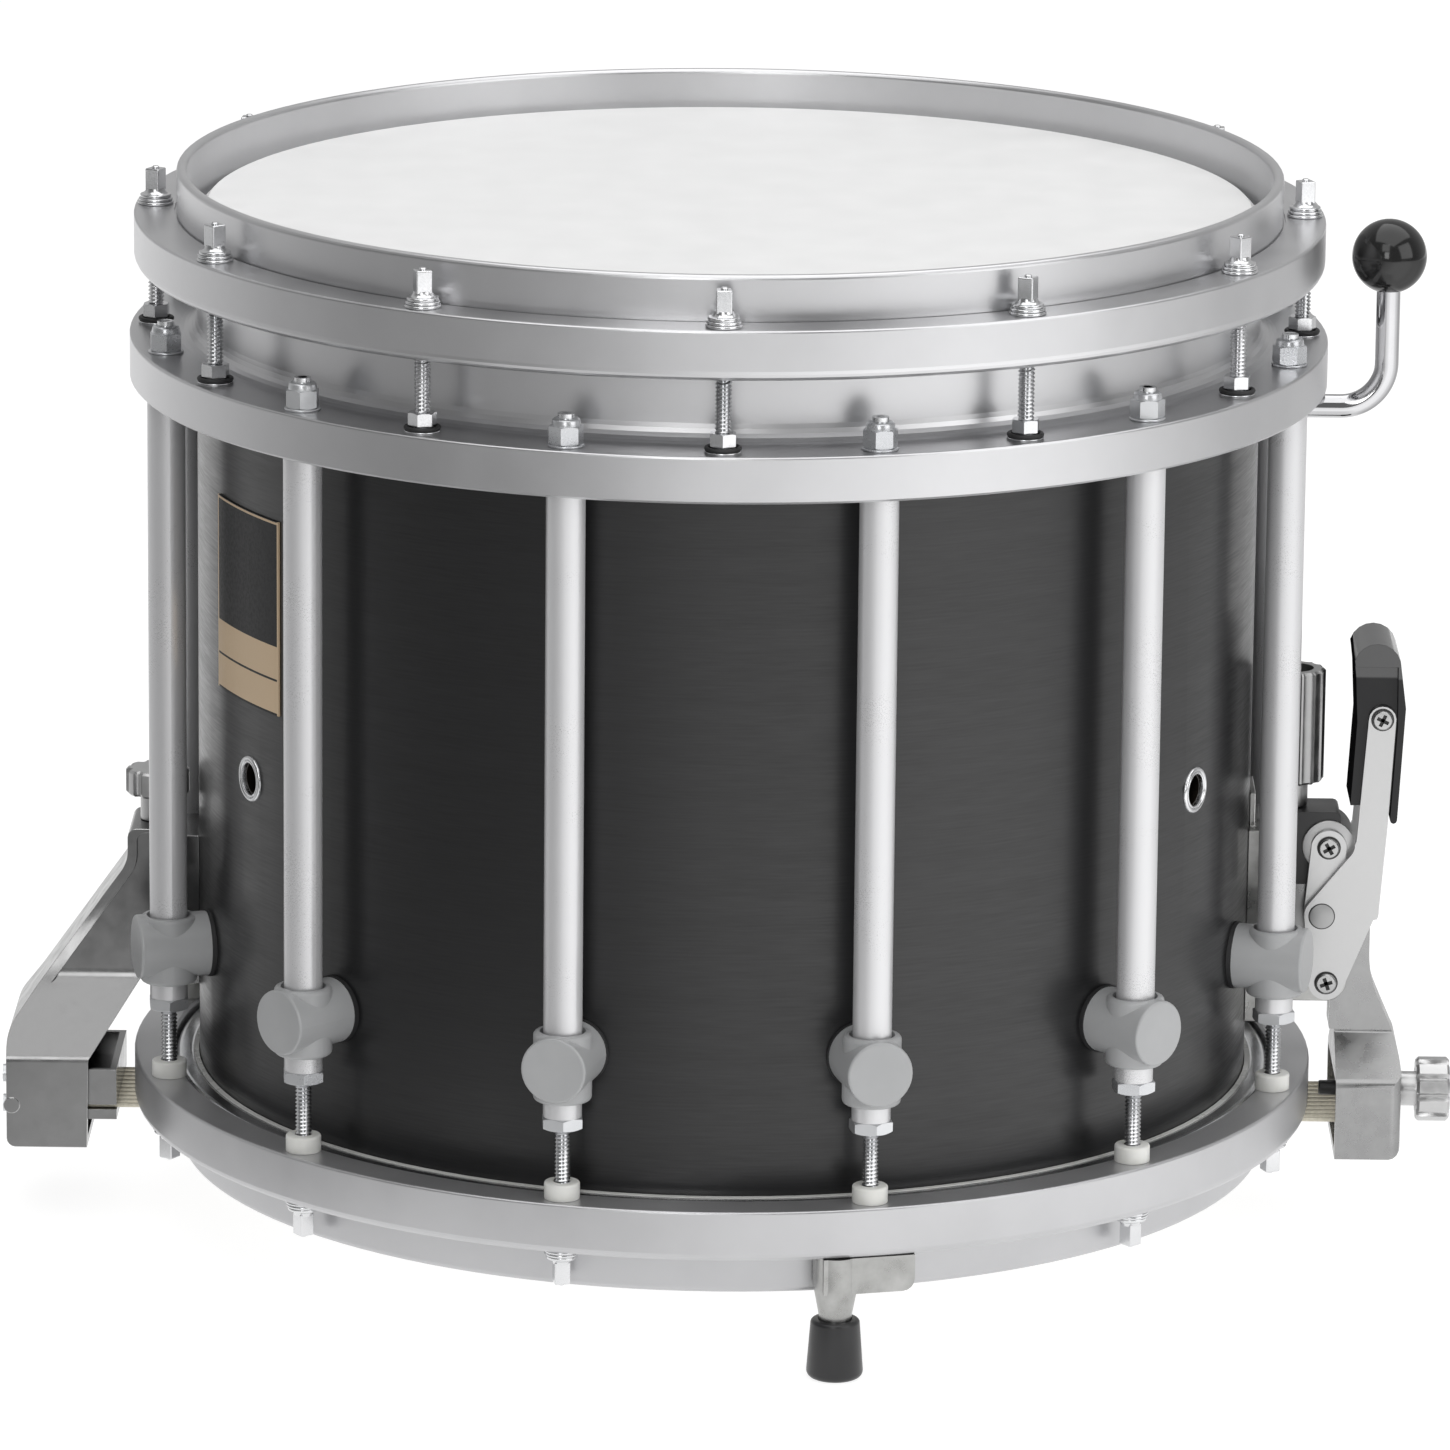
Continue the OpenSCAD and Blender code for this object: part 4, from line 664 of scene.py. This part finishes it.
# Tubes. Twelve drawn aluminium tubes, satin anodised, stand between the ring and the lugs on threaded
# studs, and zinc-plated lock nuts with domed inserts hold the studs above the ring.
anodised = metal(
    "satin_tube", (0.67, 0.67, 0.68), (0.69, 0.69, 0.7), (0.27, 0.3), 0.25 * mm, 0.001 * mm, metallic=0.4
)
paint(anodised, "tension_tubes")
paint(chrome, "tube_studs")
zinc = metal(
    "zinc_plating", (0.6, 0.61, 0.63), (0.72, 0.73, 0.74), (0.26, 0.38), 0.5 * mm, 0.002 * mm, metallic=0.8
)
tube_angles = range(15, 360, 30)
ring_washer_low, ring_washer_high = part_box("ring_nut_washers")
hexagon = hex_nut("lock_nuts", 11.4, 6)
crown = arc(3.4, 7.1, 1.2, 25, 90)
dome = turned("dome", [(2.4, 5.4), (4.7, 5.4), (4.7, 6.2), *crown, (2.4, 8.3), (2.4, 5.4)])
stud_end = turned("stud_end", [(0, 4), (2.55, 4), (2.55, 8.8), *arc(1.5, 8.8, 1, 0, 90, 4), (0, 9.8)], 24)
lock_nuts = joined(hexagon, dome, stud_end)
lock_nuts.data.transform(Matrix.Rotation(math.radians(30), 4, "Z"))
lock_nuts = copies(lock_nuts, round_places(tube_angles, rod_circle, ring_washer_high.z, 19))
fit(lock_nuts, "drum", zinc, "chrome_hardware", "ring_lock_nuts")
ring_places = round_places(tube_angles, rod_circle, ring_washer_low.z)
ring_washers = copies(washer("lock_washers", 5.9, 0.8), ring_places)
fit(ring_washers, "drum", zinc, "chrome_hardware", "ring_nut_washers")

# Lugs. Moulded grey nylon crosses, one barrel on the shell over a rubber gasket and one round the tube,
# each held by a screw from inside the shell.
lug_grey = coated(
    "moulded_grey", (0.37, 0.375, 0.38), (0.41, 0.415, 0.42), (0.28, 0.36), 0.5 * mm, 0.006 * mm
)
paint(lug_grey, "tube_lugs")
paint(rubber, "lug_gaskets")
paint(zinc, "lug_screws")

# Lower rods. Chromed steel rods with rolled threads run up through the lower hoop in milky nylon bushes and
# into flat nuts under the tubes. Their key heads and washers hang below the hoop, and three of them hold
# the feet instead.
foot_angles = (15, 135, 225)
free_angles = [angle for angle in tube_angles if angle not in foot_angles]
lower_low, lower_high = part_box("bottom_rod_washers")
end_nut_low, end_nut_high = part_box("tube_end_nuts")
shaft = threaded("lower_rods", lower_low.z, end_nut_high.z)
lower_rods = copies(shaft, round_places(tube_angles, rod_circle))
hanging = Matrix.Rotation(math.pi, 4, "X")
heads = copies(
    key_head("lower_heads"),
    [place @ hanging for place in round_places(free_angles, rod_circle, lower_low.z, key_twist)],
)
fit(joined(lower_rods, heads), "drum", chrome, "chrome_hardware", "bottom_tension_rods")
lower_washers = copies(
    washer_pair("lower_washers"),
    [place @ hanging for place in round_places(free_angles, rod_circle, lower_high.z)],
)
fit(lower_washers, "drum", chrome, "chrome_hardware", "bottom_rod_washers")
end_nuts = copies(hex_nut("end_nuts", 14.6, 4), round_places(tube_angles, rod_circle, end_nut_low.z, 29))
fit(end_nuts, "drum", zinc, "chrome_hardware", "tube_end_nuts")
nylon = coated("milky_nylon", (0.72, 0.72, 0.69), (0.78, 0.78, 0.75), (0.35, 0.45), 0.7 * mm, 0.006 * mm)
shader = nylon.node_tree.nodes["Principled BSDF"]
shader.inputs["Subsurface Weight"].default_value = 0.4
shader.inputs["Subsurface Radius"].default_value = (0.002, 0.002, 0.0018)
spigot = [(2.8, -5), (3.9, -5), (3.9, 0), (5.5, 0)]
collar = arc(5.5, 0.3, 0.3, -90, 0, 3) + arc(5.1, 4.9, 0.7, 0, 90, 4)
bush = turned("bushes", [*spigot, *collar, (2.8, 5.6), spigot[0]])
bushes = copies(bush, round_places(tube_angles, rod_circle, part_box("bottom_hoop")[1].z))
fit(bushes, "drum", nylon, "nylon", "bottom_bushes")

# Feet. Tumbled aluminium castings that three of the lower rods bolt under the hoop, each with a round
# turned leg pushed into a moulded boot of black rubber.


def rounded(name, node, width, segments=3, angle=crease):
    """A copy of a CAD node with its edges rounded."""
    piece = bpy.data.objects.new(name, nodes[node].data.copy())
    bpy.context.collection.objects.link(piece)
    only(piece)
    bpy.ops.mesh.customdata_custom_splitnormals_clear()
    bpy.ops.object.mode_set(mode="EDIT")
    bpy.ops.mesh.select_all(action="SELECT")
    bpy.ops.mesh.remove_doubles(threshold=0.002 * mm)
    bpy.ops.mesh.dissolve_limited(angle_limit=math.radians(1))
    bpy.ops.object.mode_set(mode="OBJECT")
    return soften(piece, width, segments, angle)


def casting(name, dark, light, edge, gloss, dents):
    """A tumbled casting with faint clouds, shallow dents of a given depth and brighter edges, partly worn
    and partly painted highlight.
    """
    made, tree, shader = material(name)
    place = object_place(tree)
    cloud_scale = 160
    edge_noise_scale = 900
    dent_scale = 420
    cloud = noise(tree, place, cloud_scale, 5)
    edge_faces = tree.nodes.new("ShaderNodeAttribute")
    edge_faces.attribute_name = "bevelled_edges"
    # Rounded edges take the lighter edge colour: partly wear, partly painted highlight.
    blend = tree.nodes.new("ShaderNodeMix")
    blend.data_type = "RGBA"
    tree.links.new(edge_faces.outputs["Fac"], blend.inputs[0])
    tint(tree, cloud, dark, light, blend.inputs[6])
    dull_edge = [0.8 * value for value in edge]
    tint(tree, noise(tree, place, edge_noise_scale, 3), dull_edge, edge, blend.inputs[7])
    tree.links.new(blend.outputs[2], shader.inputs["Base Color"])
    spread(tree, cloud, *gloss, shader.inputs["Roughness"])
    relief(tree, noise(tree, place, dent_scale, 4), dents, shader)
    shader.inputs["Metallic"].default_value = 1
    return made


tumbled = casting(
    "tumbled_casting", (0.34, 0.34, 0.33), (0.48, 0.48, 0.47), (0.52, 0.52, 0.51), (0.26, 0.38), 0.006 * mm
)
hoop_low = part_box("foot_brackets")[1].z / mm
bracket_low = hoop_low - 12
boot_radius = 9.2
boot_high = 19.6
leg_offset = Matrix.Translation((-11.5 * mm, -1.6 * mm, 0))
leg_places = [place @ leg_offset for place in round_places(foot_angles, rod_circle)]
peg = [(0, 8), (5.2, 8), (5.2, boot_high), (5.5, boot_high + 2)]
boss = [(6.9, bracket_low), (6.7, bracket_low + 1.5), (6.7, hoop_low), (0, hoop_low)]
leg = turned("legs", peg + boss)
castings = rounded("foot_castings", "foot_brackets", 1.0)
fit(joined(castings, copies(leg, leg_places)), "drum", tumbled, "strainer_casting", "foot_brackets")
boot = coated("boot_rubber", (0.014, 0.014, 0.015), (0.024, 0.024, 0.025), (0.3, 0.4), 0.5 * mm, 0.01 * mm)
sole = arc(boot_radius - 2.4, 2.4, 2.4, -90, 0, 5)
rim = arc(boot_radius - 2.5, boot_high - 1.3, 1.3, 0, 90, 5)
boots = turned("boots", [(0, 0), *sole, *rim, (5.5, boot_high), (5.5, boot_high - 2), (0, boot_high - 2)])
fit(copies(boots, leg_places), "drum", boot, "black_rubber", "foot_rubbers")

# Strainer base. A die-cast plate, tumbled bright, with ears for the lever's pivot screws.
# Screws through the shell hold it from inside.
fit(rounded("strainer_plate", "strainer_base", 0.8), "drum", tumbled, "strainer_casting", "strainer_base")
paint(zinc, "strainer_base_screws")

# Lever plates. Two plates blanked from steel sheet and tumbled bright. They swing together on pan-head
# screws in the ears of the base.
plated = metal("lever_steel", (0.5, 0.5, 0.5), (0.55, 0.55, 0.55), (0.3, 0.4), 0.4 * mm, 0.006 * mm)
fit(rounded("lever_sides", "lever_plates", 0.45), "lever", plated, "lever_steel", "lever_plates")


def cross(radius, low, high):
    """The two bars of a cross recess."""
    half = 0.62 * radius
    slim = 0.18 * radius
    return [block("bar", (-a, -b, low), (a, b, high)) for a, b in ((half, slim), (slim, half))]


def cross_screw(name, radius, height, low):
    """A pan-head screw with a cross recess on a round shank, its head on the floor plane."""
    crown = arc(0.72 * radius, 0.45 * height, 0.28 * radius, -60, 60, 5)
    shank = [(0, low), (0.55 * radius, low), (0.55 * radius, 0)]
    head = turned(name, [*shank, *crown, (0.5 * radius, height), (0, height)])
    for bar in cross(radius, 0.2 * height, height + 1):
        cut(head, bar)
    return head


def side_places(centre, out, turn=0):
    """Places out on both sides of the strainer for a piece that faces away from it."""
    spin = Matrix.Rotation(math.radians(turn), 4, "Z")
    near = Matrix.Translation((centre.x, -out, centre.z)) @ Matrix.Rotation(math.pi / 2, 4, "X") @ spin
    far = Matrix.Translation((centre.x, out, centre.z)) @ Matrix.Rotation(-math.pi / 2, 4, "X") @ spin
    return [near, far]


screw_steel = metal("screw_steel", (0.36, 0.36, 0.36), (0.46, 0.46, 0.46), (0.2, 0.32), 0.5 * mm, 0.01 * mm)
# Near-black for pieces that stand in for shade: rings round screw heads and rivets, and crosses in screw
# recesses.
shade_black = coated(
    "shade_black", (0.02, 0.02, 0.02), (0.035, 0.035, 0.035), (0.4, 0.5), 0.4 * mm, 0.008 * mm
)


def side_screws(name, node, body, radius, height, reach, turn):
    """Cross-recess screws in place of a CAD node's pair of screws."""
    places = side_places(middle(node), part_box(node)[1].y - height * mm, turn)
    screws = copies(cross_screw(name, radius, height, -reach), places)
    fit(screws, body, screw_steel, "chrome_hardware", node)
    # A near-black ring under each head and a near-black cross in each recess are painted shade.
    bore = 0.96 * radius
    rim = 1.14 * radius
    seat = turned(name + "_seats", [(bore, -0.1), (rim, -0.1), (rim, 0.15), (bore, 0.25), (bore, -0.1)])
    seat = joined(seat, *cross(radius, 0.1 * height, 0.55 * height))
    fit(copies(seat, places), body, shade_black, "block_black")


side_screws("pivot_screws", "lever_pivot_screws", "drum", radius=3.5, height=1.7, reach=6, turn=20)

# Handle. Black plastic, moulded to fit between the plates and hooded over their edges, with painted sheen
# on its cap and painted shade below it, on its inner side and on its edges.
# Two small screws through the plates hold it.
handle_black = coated(
    "handle_black", (0.012, 0.012, 0.013), (0.018, 0.018, 0.019), (0.12, 0.18), 0.8 * mm, 0.004 * mm
)
tree = handle_black.node_tree
shader = tree.nodes["Principled BSDF"]
# Painted sheen and shade: the handle reflects fully on its cap, a quarter as much below it, not at all on
# the side that faces the drum, and less on its rounded edges.
cap_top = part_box("lever_handle")[1].z
cap_from = cap_top - 12.6 * mm
cap_to = cap_top - 11.6 * mm
place = parts(tree, object_place(tree))
lower_sheen = 0.25
shade_facing = (-0.9, -0.5)
edge_shade = 0.8
cap_sheen = remap(tree, place["Z"], cap_from, cap_to, lower_sheen, 1)
facing = parts(tree, tree.nodes.new("ShaderNodeTexCoord").outputs["Normal"])
facing_sheen = remap(tree, facing["X"], *shade_facing, 0, 1)
edge_faces = tree.nodes.new("ShaderNodeAttribute")
edge_faces.attribute_name = "bevelled_edges"
sheen_mask = math_node(tree, "MULTIPLY", edge_faces.outputs["Fac"], edge_shade)
sheen_mask = math_node(tree, "MAXIMUM", math_node(tree, "SUBTRACT", facing_sheen, sheen_mask), 0)
tree.links.new(math_node(tree, "MULTIPLY", cap_sheen, sheen_mask), shader.inputs["Specular IOR Level"])
fit(rounded("handle", "lever_handle", 1.4, 4), "lever", handle_black, "handle_black", "lever_handle")
side_screws("handle_screws", "lever_handle_screws", "lever", radius=3.4, height=1.6, reach=7, turn=65)

# Toggle links. Two links blanked from steel sheet join the lever to the sliding block.
# They turn on flush rivets in the lever and on a pin in the block.
fit(rounded("links", "toggle_links", 0.45), "toggle", plated, "lever_steel", "toggle_links")
rivet_grey = metal("rivet_grey", (0.36, 0.36, 0.36), (0.42, 0.42, 0.42), (0.36, 0.46), 0.4 * mm, 0.01 * mm)
rivet_places = side_places(middle("toggle_rivets"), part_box("toggle_rivets")[1].y)
rivet = turned("rivets", [(0, -4), (2.4, -4), (2.4, 0), (4.2, 0), *arc(4, 0.15, 0.2, 0, 90, 3), (0, 0.4)])
fit(copies(rivet, rivet_places), "lever", rivet_grey, "lever_steel", "toggle_rivets")
# A thin near-black ring round each rivet is painted shade at its edge.
rivet_shade = turned("rivet_shade_rings", [(4.1, -0.1), (4.5, -0.1), (4.5, 0.1), (4.1, 0.2), (4.1, -0.1)])
fit(copies(rivet_shade, rivet_places), "lever", shade_black, "lever_steel")

# Block. A black anodised slide on the base. Its cross pin carries a steel disc on each side,
# and a screw holds each link against its disc.
block_black = coated(
    "block_black", (0.016, 0.016, 0.017), (0.03, 0.03, 0.031), (0.34, 0.44), 0.3 * mm, 0.01 * mm
)
fit(rounded("slide_block", "strainer_block", 0.7), "block", block_black, "block_black", "strainer_block")
side_screws("pin_screws", "block_pivot_pin", "block", radius=3.5, height=1.6, reach=8, turn=30)
disc_out = 10.4 * mm
disc = turned("pin_discs", [(0, -0.9), (8.9, -0.9), *arc(8.6, -0.3, 0.3, 0, 90, 3), (0, 0)])
fit(copies(disc, side_places(middle("block_pivot_pin"), disc_out)), "block", plated, "lever_steel")

# Height knob. A tall aluminium knob, turned, milled with deep flutes and hollowed at its top.
# It sits in the block on a threaded stud that is fixed in the arm, and raises or lowers the arm.


def fluted(name, radius, height, flutes, depth, share, edge):
    """A fluted knob standing on the floor plane, its rims chamfered."""
    steps = 14
    bpy.ops.object.select_all(action="DESELECT")
    bpy.ops.mesh.primitive_circle_add(vertices=flutes * steps, radius=radius * mm, fill_type="NGON")
    piece = bpy.context.object
    piece.name = name
    shrink = 1 - edge / radius
    for vertex in piece.data.vertices:
        phase = math.atan2(vertex.co.y, vertex.co.x) * flutes / (2 * math.pi)
        off_groove = abs(phase - math.floor(phase) - 0.5) * 2 / share
        if off_groove < 1:
            vertex.co *= 1 - depth / radius * math.sqrt(1 - off_groove**2)
        vertex.co *= shrink
    bpy.ops.object.mode_set(mode="EDIT")
    bpy.ops.mesh.select_all(action="SELECT")
    for rise, scale in ((edge, 1 / shrink), (height - 2 * edge, 1), (edge, shrink)):
        bpy.ops.mesh.extrude_region_move(TRANSFORM_OT_translate={"value": (0, 0, rise * mm)})
        bpy.ops.transform.resize(value=(scale, scale, 1))
    close_up(30)
    return piece


satin_grey = casting(
    "satin_grey", (0.34, 0.34, 0.34), (0.42, 0.42, 0.42), (0.5, 0.5, 0.5), (0.34, 0.44), 0.01 * mm
)
knob_low, knob_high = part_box("height_knob")
knob_x = middle("height_knob").x
knob_neck = 8.8
knob_height = (knob_high.z - knob_low.z) / mm - knob_neck
tall_knob = fluted("tall_knob", 10.6, knob_height, flutes=14, depth=0.9, share=0.84, edge=0.8)
hollow_low = knob_height - 14
hollow_high = knob_height + 1
hollow = [(0, hollow_low), (6.2, hollow_low), (6.5, hollow_high), (0, hollow_high)]
cut(tall_knob, turned("hollow", hollow))
tall_knob.data.transform(Matrix.Translation((0, 0, knob_neck * mm)))
neck = turned("neck", [(0, 0), *arc(5, 0.4, 0.4, -90, 0, 3), (5.4, knob_neck + 0.5), (0, knob_neck + 0.5)])
tall_knob = joined(tall_knob, neck)
tall_knob.data.transform(Matrix.Translation((knob_x, 0, knob_low.z)))
fit(tall_knob, "height_knob", satin_grey, "chrome_hardware", "height_knob")
set_screw = turned("set_screw", [(0, -2), (1.2, -2), (1.2, 0.1), (0.9, 0.3), (0, 0.3)], 20)
set_screw_place = Matrix.Translation((knob_x, -10 * mm, knob_low.z + 13.3 * mm))
set_screw.data.transform(set_screw_place @ facing_out)
fit(set_screw, "height_knob", block_black, "block_black")
paint(chrome, "height_stud")

# Arm. An aluminium casting, tumbled bright, that hangs in the block on its stud and flares to a box.
# In the box two steel jaws, screwed together, grip the strands.
arm_grey = casting(
    "arm_casting", (0.3, 0.3, 0.3), (0.36, 0.36, 0.36), (0.46, 0.46, 0.46), (0.24, 0.34), 0.005 * mm
)
fit(rounded("cast_arm", "strainer_arm", 1.0, 4), "arm", arm_grey, "strainer_casting", "strainer_arm")
paint(plated, "strainer_clamp")
paint(zinc, "strainer_clamp_screws")

# Tension knob. A cast knob with ten lobes on a plain collar, tumbled to a light satin.
# Its black steel screw runs through the box of the arm and draws the strands' clamp outwards.
tension_low, tension_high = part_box("tension_knob")
satin_light = casting(
    "satin_light", (0.52, 0.52, 0.52), (0.6, 0.6, 0.6), (0.66, 0.66, 0.66), (0.28, 0.38), 0.01 * mm
)
lobe_high = 11.2
collar_long = 6.2
knob_long = 17.4
lobed = fluted("lobed_knob", 11, lobe_high, flutes=10, depth=1.5, share=0.34, edge=0.9)
dimple = turned("dimple", [(0, 10.4), (6.4, 10.4), (6.8, 12), (0, 12)])
cut(lobed, dimple)
lobed.data.transform(Matrix.Translation((0, 0, collar_long * mm)))
collar = turned("collar", [(0, -0.2), *arc(5.2, 0.5, 0.7, -90, 0, 3), (5.9, 6.4), (0, 6.4)])
collar_place = Matrix.Translation((tension_high.x - knob_long * mm, 0, middle("tension_knob").z))
outwards = collar_place @ Matrix.Rotation(math.pi / 2, 4, "Y")
lobed_knob = joined(lobed, collar)
lobed_knob.data.transform(outwards)
fit(lobed_knob, "tension_knob", satin_light, "chrome_hardware", "tension_knob")
screw_end = knob_long - (tension_high.x - tension_low.x) / mm
screw_points = [(0, screw_end), (2.2, screw_end), (2.5, screw_end + 0.4), (2.5, 0), (0, 0)]
tension_screw = turned("tension_screw", screw_points)
tension_screw.data.transform(outwards)
fit(tension_screw, "tension_knob", block_black, "block_black")

# Butt. A cast aluminium plate screwed to the shell from inside carries a flanged casting, tumbled bright,
# that a knob's screw raises or lowers. A tray screwed to a jaw in its box grips the strands' other end.
# Plate, casting and tray get darker copies of the cast finish than the other castings: painted shade, with
# brighter edges partly worn and partly painted highlight.
shaded_cast = casting(
    "shaded_satin_casting", (0.19, 0.19, 0.19), (0.23, 0.23, 0.23), (0.6, 0.6, 0.6), (0.18, 0.26), 0.008 * mm
)
fit(rounded("butt_plate", "butt_base", 1.2), "drum", shaded_cast, "strainer_casting", "butt_base")
paint(zinc, "butt_base_screws")
fit(rounded("butt_casting", "butt_arm", 1.2, 4), "butt_arm", shaded_cast, "strainer_casting", "butt_arm")
butt_low, butt_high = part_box("butt_knob")
butt_x = middle("butt_knob").x
slot_height = 8.8
slotted = fluted("slotted_knob", 10.75, slot_height, flutes=10, depth=1.6, share=0.5, edge=0.8)
cut(slotted, turned("socket", [(0, 6), (2, 6), (2.2, 10), (0, 10)], 24))
slotted.data.transform(Matrix.Translation((butt_x, 0, butt_high.z - slot_height * mm)))
stem_high = (butt_high.z - butt_low.z) / mm - slot_height
stem_low = stem_high - 8.8
stem_top = stem_high + 0.5
stem = turned("stem", [(0, 0), (3, 0), (3, stem_low), (5.9, stem_low), (5.9, stem_top), (0, stem_top)])
stem.data.transform(Matrix.Translation((butt_x, 0, butt_low.z)))
fit(joined(slotted, stem), "butt_knob", satin_light, "chrome_hardware", "butt_knob")
shaded_tray_grey = casting(
    "shaded_tray_grey", (0.18, 0.18, 0.18), (0.22, 0.22, 0.22), (0.5, 0.5, 0.5), (0.16, 0.24), 0.008 * mm
)
fit(rounded("butt_tray", "butt_clamp", 1.0, 4), "butt_arm", shaded_tray_grey, "strainer_casting", "butt_clamp")
paint(zinc, "butt_clamp_screws")

# Strands. Ten cords of twisted gut between the two clamps, just under the lower head.
# The strainer end drops when the lever opens.
twist_scale = 1100
drift_scale = 300
gut, tree, shader = material("twisted_gut")
place = object_place(tree)
twist = noise(tree, place, twist_scale, 2)
tint(tree, twist, (0.6, 0.56, 0.45), (0.7, 0.66, 0.55), shader.inputs["Base Color"])
spread(tree, noise(tree, place, drift_scale, 3), 0.4, 0.55, shader.inputs["Roughness"])
relief(tree, twist, 0.03 * mm, shader)
cords = rounded("gut_cords", "snare_strands", 0.1)
fit(cords, "drum", gut, "gut", "snare_strands")
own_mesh(cords)

# Ball lever. A bent and polished steel rod with a glossy black plastic ball turns in a bush in the shell.
# Its cam lifts the upper snares, a hinged frame of steel wires under the batter head.
gloss = coated("ball_gloss", (0.01, 0.01, 0.01), (0.014, 0.014, 0.014), (0.08, 0.14), 3 * mm, 0.002 * mm)
paint(gloss, "ball_knob")
polished = metal("polished_steel", (0.5, 0.5, 0.51), (0.58, 0.58, 0.59), (0.05, 0.1), 0.8 * mm, 0.002 * mm)
paint(polished, "ball_lever_rod")
paint(chrome, "ball_lever_bush", "ball_lever_nut", "upper_snare_wires")
paint(plated, "lift_cam", "upper_snare_frame", "upper_snare_hinge")
